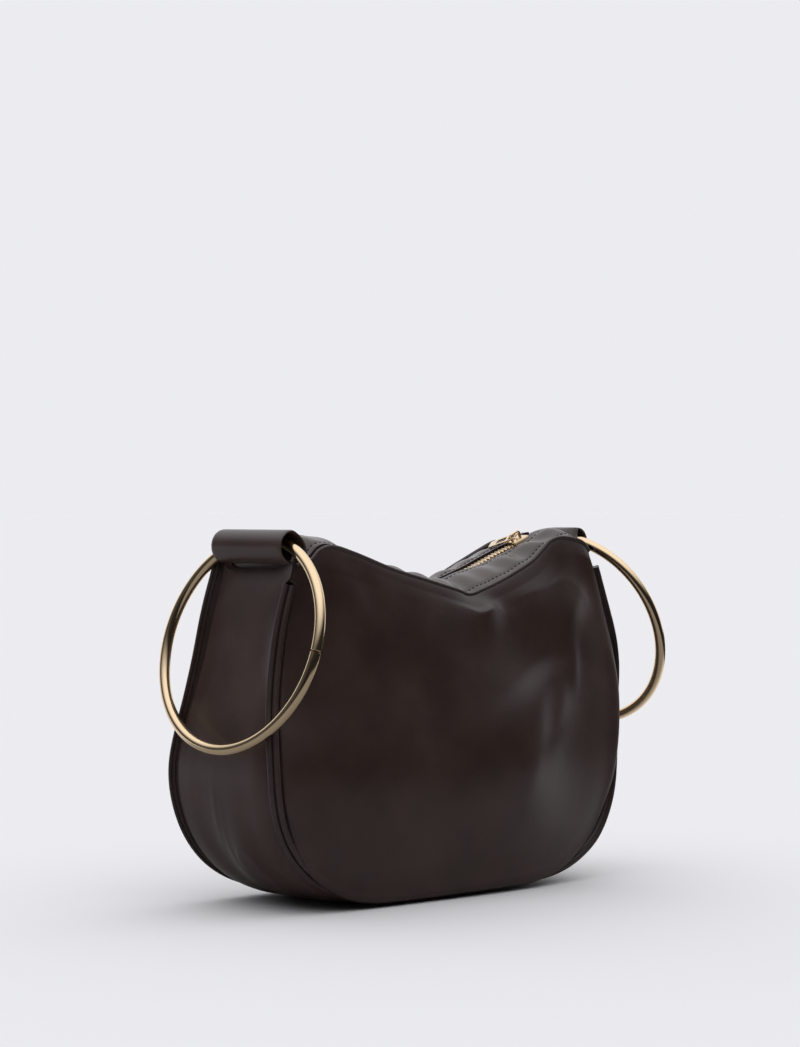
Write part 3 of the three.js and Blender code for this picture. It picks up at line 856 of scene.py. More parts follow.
def panel_points(side, edge, folds):
    """Outer face of one soft panel, stretched between its seam and its top edge, and its shares up."""
    u = crowded(PANEL["columns"])
    v = crowded(PANEL["rows"])
    top_x = lerp(edge[0][0] + GAP, edge[-1][0] - GAP, u)
    top = np.stack([top_x, smooth(edge, top_x)], -1)
    bottom_share = lerp(-CORNER, CORNER, u)
    bottom = seam_edge(bottom_share, side)
    slot = (SLOT_END - CORNER) / (1 - CORNER)
    climb = np.clip((v - slot) / (1 - slot), 0, 1)[:, None]
    shares = lerp(CORNER, 1, np.minimum(v, slot))
    left = lerp(seam_edge(-shares, side), top[0], climb)
    right = lerp(seam_edge(shares, side), top[-1], climb)
    across, up = u[None, :, None], v[:, None, None]
    flat = bottom * (1 - up) + top * up + left[:, None] * (1 - across) + right[:, None] * across
    flat = flat - bottom[0] * (1 - across) * (1 - up) - bottom[-1] * across * (1 - up)
    flat = flat - top[0] * (1 - across) * up - top[-1] * across * up
    x, z = flat[..., 0], flat[..., 1]
    middle = np.maximum(np.sin(math.pi * u)[None] * np.sin(math.pi * v)[:, None], 0)
    fold = fold_depth(folds, x, z) * np.minimum(1, PANEL["fold_fade"] * middle)
    from_right = hanging(hang_at(shares, side)[:, None], (1 - u)[None] * (right - left)[:, :1])
    from_bottom = hanging(hang_at(bottom_share, side)[None], v[:, None] * (top - bottom)[None, :, 1])
    power = HANGING["corner_power"]
    over = (from_right**power + from_bottom**power) ** (1 / power) * (1 - climb)
    depth = depth_at(side, x, z) + PANEL["swell"] * middle ** PANEL["fullness"] - fold + over
    return np.stack([x, side * depth, z], -1), v


def edge_roll(points, side):
    """The turned top edge of a panel: a thin roll along the edge's points."""
    ends = np.linspace(0, len(points) - 1, EDGE_ROLL["stations"])
    line = np.stack([np.interp(ends, np.arange(len(points)), points[:, k]) for k in range(3)], -1)
    line[:, 1] += side * EDGE_ROLL["forward"]
    line[:, 2] -= EDGE_ROLL["sunk"]
    along = np.gradient(line, axis=0)
    along /= np.linalg.norm(along, axis=1)[:, None]
    level = np.array([0, 1.0, 0]) - along * along[:, 1:2]
    level /= np.linalg.norm(level, axis=1)[:, None]
    rising = np.cross(along, level)
    angle = np.linspace(0, 2 * math.pi, EDGE_ROLL["sides"], endpoint=False)
    angle = angle[None, :, None]
    ring = np.cos(angle) * level[:, None] + np.sin(angle) * rising[:, None]
    return line[:, None] + EDGE_ROLL["radius"] * ring


class HANDBAG_OT_panels(bpy.types.Operator):
    """Make the soft front and back panels with their folds and rolled top edges."""

    bl_idname = "handbag.panels"
    bl_label = "Panels"

    def execute(self, context):
        leather = leather_material("panel_leather", grain_size=0.9, wear=0.35, shine=0.47, shade=0.86)
        for name, side, edge, folds in (
            ("front_panel", -1, FRONT_EDGE, FRONT_FOLDS),
            ("back_panel", 1, BACK_EDGE, BACK_FOLDS),
        ):
            outer, v = panel_points(side, edge, folds)
            inner = outer - (0, side * LEATHER, 0)
            wear = np.repeat(rub(1 - v, RUBBED["panel"]), outer.shape[1])
            shape = Body().wall(slumped(outer), slumped(inner), wear)
            roll = edge_roll(slumped(outer)[-1], side)
            shape.bar(roll, np.full(roll.shape[:2], 1.0))
            settle(make_piece(f"{name}_leather", shape, leather), "bag", "leather", name)
        return {"FINISHED"}


class HANDBAG_OT_gusset(bpy.types.Operator):
    """Make the strip round both ends and the bottom."""

    bl_idname = "handbag.gusset"
    bl_label = "Gusset"

    def execute(self, context):
        share = np.linspace(-1, 1, GUSSET["stations"] + 1)
        across = edged(GUSSET["across"], GUSSET["crowding"])
        place, out, _ = SEAM_LINE.at(share)
        half = depth_at(across[None], place[:, :1], place[:, 1:])
        over = smooth(OVER_BACK, share)[:, None] * (across > 0)[None]
        inset = edge_inset(share[:, None], across[None])
        y = across[None] * (half - lerp(inset, OVER["inset"], over))
        over = over * OVER["lift"] * np.exp(-((half - np.abs(y)) / OVER["run"]) ** 2)
        swell = np.minimum(SEAM["bottom"], smooth(GUSSET_SWELLS, np.abs(share)))[:, None]
        fill = np.minimum(1, (1 - np.abs(across) ** GUSSET["flat_power"]) * GUSSET["flat_factor"])
        along = (share * SEAM_LINE.length)[:, None]
        fold = fold_depth(GUSSET_FOLDS, along, y) * (1 - across ** GUSSET["fold_power"])
        height = np.minimum(swell * fill - fold + over, SEAM["bottom"] + GUSSET["most_past"])
        start = LIP["start"]
        climb = np.clip((np.abs(share) - start) / (1 - start), 0, 1)[:, None] ** 2
        lip = climb * lerp(LIP["middle"], LIP["corner"], across ** LIP["corner_power"])

        def face(sunk):
            flat = place[:, None] + out[:, None] * (height - sunk)[..., None]
            return slumped(np.stack([flat[..., 0], y, np.maximum(flat[..., 1], 0) + lip], -1))

        wear = np.tile(rub(1 - np.abs(across), RUBBED["gusset"]), len(share))
        shape = Body().wall(face(0), face(LEATHER), wear)
        leather = leather_material("gusset_leather", grain_size=0.9, wear=0.06, shine=0.45, shade=0.95)
        settle(make_piece("gusset_leather", shape, leather), "bag", "leather", "gusset")
        return {"FINISHED"}


def welt_section(tip, half):
    """Section of a welt that reaches to a tip, as (reach, aside).

    It has two layers with half-round ends, a groove between them and stitched grooves along both sides.
    """
    angle = np.linspace(math.pi / 2, -math.pi / 2, WELT["round_steps"])
    layer = np.stack([tip - WELT["round"] * (1 - np.cos(angle)), half / 2 * np.sin(angle)], -1)
    upper = layer + (0, half / 2)
    lower = layer - (0, half / 2)
    split = [(tip - WELT["groove"], WELT["groove_half"]), (tip - WELT["groove"], -WELT["groove_half"])]
    side = []
    for below in WELT_GROOVES["below_tip"]:
        reach, wide, deep = tip - below, WELT_GROOVES["half"], WELT_GROOVES["depth"]
        side += [(reach + wide, half), (reach + wide / 3, half - deep)]
        side += [(reach - wide / 3, half - deep), (reach - wide, half)]
    side = np.array([*side, (WELT["base"], min(half, WELT["slot_half"]))])
    return np.r_[side[::-1], upper[:-1], split, lower[1:], side * (1, -1)]


class HANDBAG_OT_welts(bpy.types.Operator):
    """Make the raised seam strips of both panels."""

    bl_idname = "handbag.welts"
    bl_label = "Welts"

    def execute(self, context):
        # The welts' colour is darkened to 0.6 of the leather's: partly a darker leather, partly painted
        # shade.
        leather = leather_material("welt_leather", grain_size=0.7, wear=0.5, shine=0.35, shade=0.6)
        for name, side, start, reach in (
            ("front_welt", -1, SEAM_LINE.share_at(WELT["front_left_top"]), FRONT_REACH),
            ("back_welt", 1, SEAM_LINE.share_at(WELT["back_left_top"]), BACK_REACH),
        ):
            share = np.linspace(-start, WELT_END, WELT["stations"])
            place, out, _ = SEAM_LINE.at(share)
            tips = smooth(reach, share)
            halves = smooth(WELT_HALVES, share)
            section = np.stack([welt_section(tip, half) for tip, half in zip(tips, halves)])
            depth = depth_at(side, place[:, 0], place[:, 1])
            line = np.stack([place[:, 0], side * depth, place[:, 1]], -1)
            level = np.full(len(share), side)
            outward = np.stack([out[:, 0], level, out[:, 1]], -1) / math.sqrt(2)
            sideways = np.stack([out[:, 0], -level, out[:, 1]], -1) / math.sqrt(2)
            reached = line[:, None] + outward[:, None] * section[..., :1]
            shape = Body().bar(
                slumped(reached + sideways[:, None] * section[..., 1:]),
                rub(tips[:, None] - section[..., 0], RUBBED["welt"]),
            )
            settle(make_piece(f"{name}_leather", shape, leather), "bag", "leather", name)
        return {"FINISHED"}


def pulled(y, inner, outer):
    """How far the stitch rows pull the strip down, at distances from the middle of the bag."""
    rows = (inner + STITCH_ROWS["from_zip"], outer - STITCH_ROWS["from_edge"])
    return sum(PUCKER["pulled"] * np.exp(-(((y - row) / PUCKER["pull_width"]) ** 2)) for row in rows)


def facing_edge(share, side):
    """Distance of a strip's outer edge from the middle plane, inside the panel's wall."""
    return top_depth(side, facing_place(share, 0)) - LEATHER - GAP


def facing_surface(share, distance, side):
    """Points of a top strip's puckered upper face, at shares along and distances from the middle."""
    outer = facing_edge(share, side)
    x = facing_place(share, side * distance)
    between = np.clip((distance - FACING["inner"]) / (outer - FACING["inner"]), 0, 1)
    wave = np.sin(2 * math.pi * x / PUCKER["spacing"] + side)
    wave = wave + PUCKER["ripple"] * np.sin(x / PUCKER["ripple_run"] + 2 * side)
    lift = PUCKER["height"] * wave * np.sin(math.pi * between)
    near = np.exp(-(((x - PUFF["at"]) / PUFF["run"]) ** 2))
    puff = PUFF["height"] * (1 - between) ** PUFF["fall"] * near * (side < 0)
    z = facing_height(x, side * distance) + lift + puff - pulled(distance, FACING["inner"], outer)
    return np.stack([x, side * distance, z], -1)


class HANDBAG_OT_facings(bpy.types.Operator):
    """Make the puckered top strips on both sides of the zip."""

    bl_idname = "handbag.facings"
    bl_label = "Top strips"

    def execute(self, context):
        leather = leather_material("facing_leather", grain_size=0.8, wear=0.4, roughness=0.3)
        share = np.linspace(0, 1, FACING_GRID["stations"])[:, None]
        between = np.linspace(0, 1, FACING_GRID["across"])[None]
        for name, side in (("front_facing", -1), ("back_facing", 1)):
            distance = lerp(FACING["inner"], facing_edge(share, side), between)
            face = facing_surface(share + 0 * distance, distance, side)
            wear = np.maximum(rub(between, RUBBED["strip_side"]), rub(share, RUBBED["strip_end"]))
            shape = Body().wall(face, face - (0, 0, LEATHER), wear)
            settle(make_piece(f"{name}_leather", shape, leather), "bag", "leather", name)
        return {"FINISHED"}


def run_tree():
    """Geometry tree that sets rounded blocks along a line, every other one to the other side."""
    tree = bpy.data.node_groups.get("Blocks along a line")
    if tree:
        return tree
    tree = bpy.data.node_groups.new("Blocks along a line", "GeometryNodeTree")
    for label, kind in (
        ("Geometry", "NodeSocketGeometry"),
        ("Spacing", "NodeSocketFloat"),
        ("Size", "NodeSocketVector"),
        ("Aside", "NodeSocketFloat"),
        ("Crease", "NodeSocketFloat"),
        ("Material", "NodeSocketMaterial"),
    ):
        tree.interface.new_socket(label, in_out="INPUT", socket_type=kind)
    tree.interface.new_socket("Geometry", in_out="OUTPUT", socket_type="NodeSocketGeometry")
    given = tree.nodes.new("NodeGroupInput")
    result = tree.nodes.new("NodeGroupOutput")
    line = tree.nodes.new("GeometryNodeMeshToCurve")
    steps = tree.nodes.new("GeometryNodeResampleCurve")
    steps.mode = "LENGTH"
    index = tree.nodes.new("GeometryNodeInputIndex")
    parity = math_node(tree, "MODULO", index.outputs[0], 2)
    sign = math_node(tree, "MULTIPLY_ADD", parity, 2, -1)
    aside = math_node(tree, "MULTIPLY", sign, given.outputs["Aside"])
    shift = tree.nodes.new("ShaderNodeCombineXYZ")
    moved = tree.nodes.new("GeometryNodeSetPosition")
    block = tree.nodes.new("GeometryNodeMeshCube")
    rounded = tree.nodes.new("GeometryNodeSubdivisionSurface")
    rounded.inputs["Level"].default_value = 2
    tangent = tree.nodes.new("GeometryNodeInputTangent")
    turn = tree.nodes.new("FunctionNodeAlignRotationToVector")
    turn.axis = "X"
    copies = tree.nodes.new("GeometryNodeInstanceOnPoints")
    real = tree.nodes.new("GeometryNodeRealizeInstances")
    finish = tree.nodes.new("GeometryNodeSetMaterial")
    link = tree.links.new
    link(given.outputs["Geometry"], line.inputs[0])
    link(line.outputs[0], steps.inputs["Curve"])
    link(given.outputs["Spacing"], steps.inputs["Length"])
    link(aside, shift.inputs["Y"])
    link(steps.outputs[0], moved.inputs["Geometry"])
    link(shift.outputs[0], moved.inputs["Offset"])
    link(given.outputs["Size"], block.inputs["Size"])
    link(block.outputs["Mesh"], rounded.inputs["Mesh"])
    link(given.outputs["Crease"], rounded.inputs["Edge Crease"])
    link(moved.outputs[0], copies.inputs["Points"])
    link(rounded.outputs[0], copies.inputs["Instance"])
    link(tangent.outputs[0], turn.inputs["Vector"])
    link(turn.outputs[0], copies.inputs["Rotation"])
    link(copies.outputs[0], real.inputs[0])
    link(real.outputs[0], finish.inputs["Geometry"])
    link(given.outputs["Material"], finish.inputs["Material"])
    link(finish.outputs[0], result.inputs[0])
    return tree


def blocks_along(name, lines, spacing, size, aside, crease, material):
    """A plain mesh of rounded blocks set along lines of points in millimetres."""
    mesh = bpy.data.meshes.new(name)
    points = np.concatenate(lines)
    edges = []
    start = 0
    for line in lines:
        edges += [(start + k, start + k + 1) for k in range(len(line) - 1)]
        start += len(line)
    mesh.from_pydata(((points + MIDDLE) * MM).tolist(), edges, [])
    made = new_object(name, mesh)
    tree = run_tree()
    modifier = made.modifiers.new("Blocks", "NODES")
    modifier.node_group = tree
    values = {"Spacing": spacing, "Size": size, "Aside": aside, "Crease": crease, "Material": material}
    for item in tree.interface.items_tree:
        if item.in_out == "INPUT" and item.name in values:
            modifier[item.identifier] = values[item.name]
    made.update_tag()
    depsgraph = bpy.context.evaluated_depsgraph_get()
    plain = bpy.data.meshes.new_from_object(made.evaluated_get(depsgraph))
    made.modifiers.clear()
    made.data = plain
    plain.shade_smooth()
    return made


class HANDBAG_OT_stitches(bpy.types.Operator):
    """Sew the stitch rows of both top strips."""

    bl_idname = "handbag.stitches"
    bl_label = "Stitches"

    def execute(self, context):
        looks = context.scene.handbag_looks
        share = np.linspace(0, 1, FACING_GRID["stations"])
        inside = STITCH_ROWS["from_ends"] / (FACING["end"] - FACING["start"])
        share = lerp(inside, 1 - inside, share)
        lines = []
        for side in (-1, 1):
            for distance in (
                np.full(len(share), FACING["inner"] + STITCH_ROWS["from_zip"]),
                facing_edge(share, side) - STITCH_ROWS["from_edge"],
            ):
                lines.append(facing_surface(share, distance, side) + (0, 0, STITCH_ROWS["lift"]))
        stitches = blocks_along(
            "facing_stitches",
            lines,
            spacing=looks.stitch_pitch,
            size=tuple(looks.thread_size),
            aside=0,
            crease=0.1,
            material=thread_material(),
        )
        settle(stitches, "bag", None)
        return {"FINISHED"}


def teeth_foot(x):
    return facing_height(x, 0) - TAPE["drop"] + GAP


class HANDBAG_OT_zip_tape(bpy.types.Operator):
    """Make the woven tape of the zip."""

    bl_idname = "handbag.zip_tape"
    bl_label = "Zip tape"

    def execute(self, context):
        share = np.linspace(0, 1, FACING_GRID["stations"])[:, None]
        y = np.linspace(-TAPE["half"], TAPE["half"], TAPE["across"])[None]
        x = facing_place(share, y)
        flat, half = TAPE["flat_half"], TAPE["half"]
        climb = np.clip((np.abs(y) - flat) / (half - flat), 0, 1)
        z = lerp(facing_height(x, 0), facing_height(x, np.sign(y) * half), climb) - TAPE["drop"]
        face = np.stack([x, y + 0 * x, z], -1)
        shape = Body().wall(face, face - (0, 0, TAPE["thick"]))
        settle(make_piece("zip_tape_cloth", shape, tape_material()), "bag", "zip_cloth", "zip_tape")
        return {"FINISHED"}


class HANDBAG_OT_zip_teeth(bpy.types.Operator):
    """Set the interlocked metal teeth of both sides."""

    bl_idname = "handbag.zip_teeth"
    bl_label = "Zip teeth"

    def execute(self, context):
        x = np.linspace(TEETH["start"], TEETH["end"], FACING_GRID["stations"])
        line = np.stack([x, 0 * x, teeth_foot(x) + TEETH["high"] / 2], -1)
        size = Vector((TEETH["wide"], TEETH["long"], TEETH["high"])) * MM
        teeth = blocks_along(
            "zip_teeth_metal",
            [line],
            spacing=TEETH["pitch"] / 2 * MM,
            size=tuple(size),
            aside=TEETH["aside"] * MM,
            crease=0.6,
            material=gold_material("zip_gold", roughness=0.2),
        )
        settle(teeth, "bag", "gold_metal", "zip_teeth")
        return {"FINISHED"}


def arc(centre, radius, start, end):
    angle = np.radians(np.linspace(start, end, PLATE["arc_steps"]))
    return np.stack([centre[0] + radius * np.cos(angle), centre[1] + radius * np.sin(angle)], -1)


def rounded_rectangle(low, high, half, corner):
    """Outline of a rectangle from low to high, half as wide to each side, with round corners."""
    return np.concatenate(
        [
            arc((high - corner, corner - half), corner, -90, 0),
            arc((high - corner, half - corner), corner, 0, 90),
            arc((low + corner, half - corner), corner, 90, 180),
            arc((low + corner, corner - half), corner, 180, 270),
        ]
    )


def arch(half, foot, top, corner):
    """Outline with a flat foot and a top with round corners."""
    return np.concatenate(
        [
            [(-half, foot), (half, foot)],
            arc((half - corner, top - corner), corner, 0, 90),
            arc((corner - half, top - corner), corner, 90, 180),
        ]
    )


def plate(outlines, thick, bevel):
    """Points and faces of a flat plate in XY with rounded edges, its first outline cut by the others."""
    curve = bpy.data.curves.new("plate", "CURVE")
    curve.dimensions = "2D"
    curve.fill_mode = "BOTH"
    curve.extrude = thick / 2 - bevel
    curve.bevel_depth = bevel
    curve.bevel_resolution = PLATE["bevel_steps"]
    curve.offset = -bevel
    for outline in outlines:
        spline = curve.splines.new("POLY")
        spline.points.add(len(outline) - 1)
        for point, (x, y) in zip(spline.points, outline):
            point.co = (x, y, 0, 1)
        spline.use_cyclic_u = True
    drawn = new_object("plate", curve)
    depsgraph = bpy.context.evaluated_depsgraph_get()
    mesh = bpy.data.meshes.new_from_object(drawn.evaluated_get(depsgraph))
    bpy.data.objects.remove(drawn)
    bpy.data.curves.remove(curve)
    clean = bmesh.new()
    clean.from_mesh(mesh)
    bmesh.ops.remove_doubles(clean, verts=clean.verts, dist=PLATE["weld"])
    bmesh.ops.recalc_face_normals(clean, faces=clean.faces)
    clean.verts.index_update()
    points = np.array([tuple(vert.co) for vert in clean.verts])
    faces = [[vert.index for vert in face.verts] for face in clean.faces]
    clean.free()
    bpy.data.meshes.remove(mesh)
    return points, faces


def carriage():
    """Place of the slider: on top of the teeth, tilted along the zip."""
    reach = SLIDER["length"] / 2
    at = SLIDER["at"]
    rise = float(teeth_foot(at + reach) - teeth_foot(at - reach))
    place = Matrix.Translation((at, 0, float(teeth_foot(at)) + TEETH["high"]))
    return place @ Matrix.Rotation(-math.atan2(rise, SLIDER["length"]), 4, "Y")


def moved(points, matrix):
    turned = np.array(matrix.to_3x3())
    return np.asarray(points) @ turned.T + np.array(matrix.translation)


def slider_shape(place):
    """The slider: a channel over the teeth, narrower towards its tail, with a bridge on top."""
    outer, inner, skirt = SLIDER["outer"], SLIDER["inner"], SLIDER["skirt"]
    under, top, corner = SLIDER["underside"], SLIDER["topside"], SLIDER["corner"]
    channel = [
        (-outer, skirt),
        (-inner, skirt),
        (-inner, under),
        (inner, under),
        (inner, skirt),
        (outer, skirt),
        (outer, top - corner),
        (outer - corner, top),
        (corner - outer, top),
        (-outer, top - corner),
    ]
    points, faces = plate([channel], SLIDER["length"], SLIDER["bevel"])
    # The plate's thickness runs along the zip, and its section stands across it
    along_zip = Matrix(((0, 0, 1, 0), (1, 0, 0, 0), (0, 1, 0, 0), (0, 0, 0, 1)))
    points = moved(points, along_zip)
    narrow = np.clip(-points[:, 0] / (SLIDER["length"] / 2), 0, 1)
    points[:, 1] *= 1 - SLIDER["tail"] * narrow**2 * (points[:, 2] > under - GAP)
    shape = Body().join(moved(points, place), faces)
    foot, top, corner, wall = (under + top) / 2, BRIDGE["top"], BRIDGE["corner"], BRIDGE["wall"]
    loop = [
        arch(BRIDGE["outer"], foot, top, corner),
        arch(BRIDGE["inner"], foot + GAP, top - wall, corner - wall),
    ]
    points, faces = plate(loop, BRIDGE["width"], BRIDGE["bevel"])
    return shape.join(moved(points, place @ Matrix.Rotation(math.pi / 2, 4, "X")), faces)


def pull_shape(place):
    """The pull: a plate with an eye round the bridge and a window, lying beside the slider."""
    bar, half = PULL["bar"], PULL["half"]
    outlines = [
        rounded_rectangle(-bar / 2, PULL["length"], half, PULL["corner"]),
        rounded_rectangle(bar / 2, bar / 2 + PULL["eye_length"], half - bar, PULL["eye_corner"]),
        rounded_rectangle(*PULL["window"], PULL["window_half"], PULL["window_corner"]),
    ]
    points, faces = plate(outlines, PULL["thick"], PULL["bevel"])
    hung = place @ Matrix.Translation((0, 0, PULL["bar_height"]))
    hung = hung @ Matrix.Rotation(math.pi - math.radians(PULL["yaw"]), 4, "Z")
    hung = hung @ Matrix.Rotation(math.radians(PULL["tilt"]), 4, "Y")
    return Body().join(moved(points, hung), faces)


class HANDBAG_OT_slider(bpy.types.Operator):
    """Make the zip's slider with its bridge, and the pull that swings on it."""

    bl_idname = "handbag.slider"
    bl_label = "Slider and pull"

    def execute(self, context):
        gold = gold_material("slider_gold", roughness=0.16)
        place = carriage()
        slider = make_piece("zip_slider_metal", slider_shape(place), gold, sharp=40)
        settle(slider, "bag", "gold_metal", "zip_slider")
        pull = make_piece("zip_pull_metal", pull_shape(place), gold, sharp=40)
        settle(pull, "pull", "gold_metal", "zip_pull")
        return {"FINISHED"}


def end_place(end):
    """Place of an end of the bag: its origin on the hinge, X pointing out of the bag."""
    hinge = Matrix.Translation(tuple(end["hinge"] - MIDDLE))
    return hinge @ Matrix.Rotation(math.radians(end["turn"]), 4, "Z")


def tab_paths():
    """Two paths of a tab's leather as (out, up), its extra half width, and its share of the roll's twist.

    The first path is round, as in the tab's middle. The second is drawn straight to the bag.
    """
    radius = TAB["inside"] + TAB["thick"] / 2
    angle = np.radians(np.linspace(TAB["roll_start"], TAB["roll_end"], TAB["roll_steps"]))
    roll = np.stack([radius * np.cos(angle), radius * np.sin(angle)], -1)
    inner, outer = np.array(TAB_INNER), np.array(TAB_OUTER)
    middle = np.r_[inner[:, :2], roll, outer[:, :2]]
    ends = middle.copy()
    first = len(inner)
    count = np.count_nonzero(angle > math.radians(TAB["straight_to"]))
    climb = np.linspace(0, 1, count + 2)[2:, None]
    ends[first - len(TAB_DRAWN):first] = TAB_DRAWN
    ends[first:first + count] = lerp(np.array(TAB_FOOT), roll[count - 1], climb)
    flare = np.zeros(len(roll))
    flare[:TAB["flare_steps"]] = np.linspace(TAB["flare"], 0, TAB["flare_steps"])
    extra = np.r_[inner[:, 2], flare, outer[:, 2]]
    follow = np.r_[inner[:, 3], np.ones(len(roll)), outer[:, 3]]
    return middle, ends, extra, follow


def roll_sag(end, y):
    """How far the roll's top sags along the curve of the ring that lies under it."""
    half = (end["far"] - end["near"]) / 2
    along = np.clip(y - end["slide"], 0, half * TAB["sag_reach"])
    return end["sag"] * (RING["radius"] - np.sqrt(RING["radius"] ** 2 - along**2))


class HANDBAG_OT_tabs(bpy.types.Operator):
    """Roll the leather tabs that hold the rings."""

    bl_idname = "handbag.tabs"
    bl_label = "Tabs"

    def execute(self, context):
        leather = leather_material("tab_leather", grain_size=0.9, wear=0.6)
        _, out, up = SEAM_LINE.at(1.0)
        across = edged(TAB["across"], TAB["crowding"])
        thin = np.sqrt(np.clip(1 - np.abs(across) ** TAB["edge_power"], TAB["edge_least"], 1))
        middle_path, end_path, extra, follow = tab_paths()
        drawn = TAB["drawn_share"]
        towards = eased(np.clip((np.abs(across) - (1 - drawn)) / drawn, 0, 1))[None, :, None]
        for name, end in ENDS.items():
            path = lerp(middle_path[:, None], end_path[:, None], towards * end["drawn"])
            along = np.gradient(path, axis=0)
            normal = np.stack([along[..., 1], -along[..., 0]], -1)
            normal /= np.linalg.norm(normal, axis=-1)[..., None]
            half = (end["far"] - end["near"]) / 2 + extra
            y = (end["far"] + end["near"]) / 2 + across[None] * half[:, None]
            faces = []
            for sign in (-1, 1):
                flat = path + sign * TAB["thick"] / 2 * normal * thin[None, :, None]
                sagging = np.clip((flat[..., 1] - TAB["sag_foot"]) / TAB["sag_rise"], 0, 1)
                flat[..., 1] -= roll_sag(end, y) * sagging
                twist = math.radians(end["twist"]) * follow[:, None]
                x = flat[..., 0] * out[0] + flat[..., 1] * up[0]
                z = flat[..., 0] * out[1] + flat[..., 1] * up[1]
                turned_x = x * np.cos(twist) - y * np.sin(twist)
                turned_y = x * np.sin(twist) + y * np.cos(twist)
                faces.append(np.stack([turned_x, turned_y, z], -1))
            wear = np.tile(rub(1 - np.abs(across), RUBBED["tab"]), len(path))
            place = end_place(end)
            shape = Body().wall(moved(faces[1], place), moved(faces[0], place), wear)
            settle(make_piece(f"{name}_tab_leather", shape, leather), "bag", "leather", f"{name}_tab")
        return {"FINISHED"}


def ring_drop(end):
    """Distance from the roll's axis down to the ring's middle, clear of the roll's top and farther end."""
    reach = max(end["slide"] - end["near"], end["far"] - end["slide"])
    chord = math.sqrt(RING["radius"] ** 2 - reach**2)
    slanted = RING["wire"] * RING["radius"] / chord
    return (RING["radius"] + RING["wire"] + chord - slanted) / 2


class HANDBAG_OT_rings(bpy.types.Operator):
    """Bend the two wire rings, each open by a hair at its butt joint."""

    bl_idname = "handbag.rings"
    bl_label = "Rings"

    def execute(self, context):
        gold = gold_material("ring_gold", roughness=0.13)
        opening = RING["joint_gap"] / RING["radius"]
        start = math.radians(-RING["joint_below"]) + opening / 2
        bevel = RING["chamfer"] / RING["radius"]
        sweep = 2 * math.pi - opening
        main = np.linspace(bevel, sweep - bevel, RING["steps"])
        turn = start + np.r_[0, main, sweep]
        thick = RING["wire"] - np.r_[RING["chamfer"], np.zeros(len(main)), RING["chamfer"]]
        angle = np.linspace(0, 2 * math.pi, RING["sides"], endpoint=False)
        reach = RING["radius"] + thick[:, None] * np.cos(angle)[None]
        points = np.stack(
            [
                thick[:, None] * np.sin(angle)[None],
                reach * np.cos(turn)[:, None],
                reach * np.sin(turn)[:, None],
            ],
            -1,
        )
        for name, end in ENDS.items():
            hung = end_place(end) @ Matrix.Rotation(math.radians(end["twist"]), 4, "Z")
            hung = hung @ Matrix.Translation((0, end["slide"], 0))
            hung = hung @ Matrix.Rotation(-math.radians(end["lean"]), 4, "Y")
            shape = Body().bar(moved(points - (0, 0, ring_drop(end)), hung))
            ring = make_piece(f"{name}_ring_metal", shape, gold, sharp=30)
            settle(ring, f"{name}_handle", "gold_metal", f"{name}_ring")
        return {"FINISHED"}


def new_group(name, inputs, outputs):
    """A shader node group with named sockets, and its input and output nodes."""
    group = bpy.data.node_groups.new(name, "ShaderNodeTree")
    for label, kind, value in inputs:
        socket = group.interface.new_socket(label, in_out="INPUT", socket_type=kind)
        if value is not None:
            socket.default_value = value
    for label, kind in outputs:
        group.interface.new_socket(label, in_out="OUTPUT", socket_type=kind)
    return group, group.nodes.new("NodeGroupInput"), group.nodes.new("NodeGroupOutput")


def math_node(tree, operation, *values):
    """A math node's result from sockets or numbers."""
    node = tree.nodes.new("ShaderNodeMath")
    node.operation = operation
    for socket, value in zip(node.inputs, values):
        if isinstance(value, (int, float)):
            socket.default_value = value
        else:
            tree.links.new(value, socket)
    return node.outputs[0]


def noise_node(tree, vector, scale, detail):
    node = tree.nodes.new("ShaderNodeTexNoise")
    node.inputs["Scale"].default_value = scale
    node.inputs["Detail"].default_value = detail
    tree.links.new(vector, node.inputs["Vector"])
    return node.outputs["Fac"]


def grain_group():
    """Fine pebbled grain with faint creases, and a slow change of tone."""
    group = bpy.data.node_groups.get("Leather grain")
    if group:
        return group
    group, given, result = new_group(
        "Leather grain",
        [("Vector", "NodeSocketVector", None), ("Cells per metre", "NodeSocketFloat", 1100.0)],
        [("Height", "NodeSocketFloat"), ("Tone", "NodeSocketFloat")],
    )
    cells = group.nodes.new("ShaderNodeTexVoronoi")
    cells.feature = "SMOOTH_F1"
    group.links.new(given.outputs["Vector"], cells.inputs["Vector"])
    group.links.new(given.outputs["Cells per metre"], cells.inputs["Scale"])
    creases = noise_node(group, given.outputs["Vector"], *NOISE["creases"])
    tone = noise_node(group, given.outputs["Vector"], *NOISE["tone"])
    pebble = math_node(group, "MULTIPLY", cells.outputs["Distance"], FINISH["pebble"])
    height = math_node(group, "ADD", pebble, creases)
    group.links.new(height, result.inputs["Height"])
    group.links.new(tone, result.inputs["Tone"])
    return group


def wear_group():
    """Mask of rubbed edges, broken up by noise."""
    group = bpy.data.node_groups.get("Rubbed edges")
    if group:
        return group
    group, given, result = new_group(
        "Rubbed edges",
        [
            ("Vector", "NodeSocketVector", None),
            ("Edge", "NodeSocketFloat", 0.0),
            ("Amount", "NodeSocketFloat", 0.5),
        ],
        [("Mask", "NodeSocketFloat")],
    )
    broken = noise_node(group, given.outputs["Vector"], *NOISE["rubbing"])
    kept = math_node(group, "MULTIPLY", given.outputs["Edge"], given.outputs["Amount"])
    mask = math_node(group, "MULTIPLY", kept, broken)
    group.links.new(mask, result.inputs["Mask"])
    return group


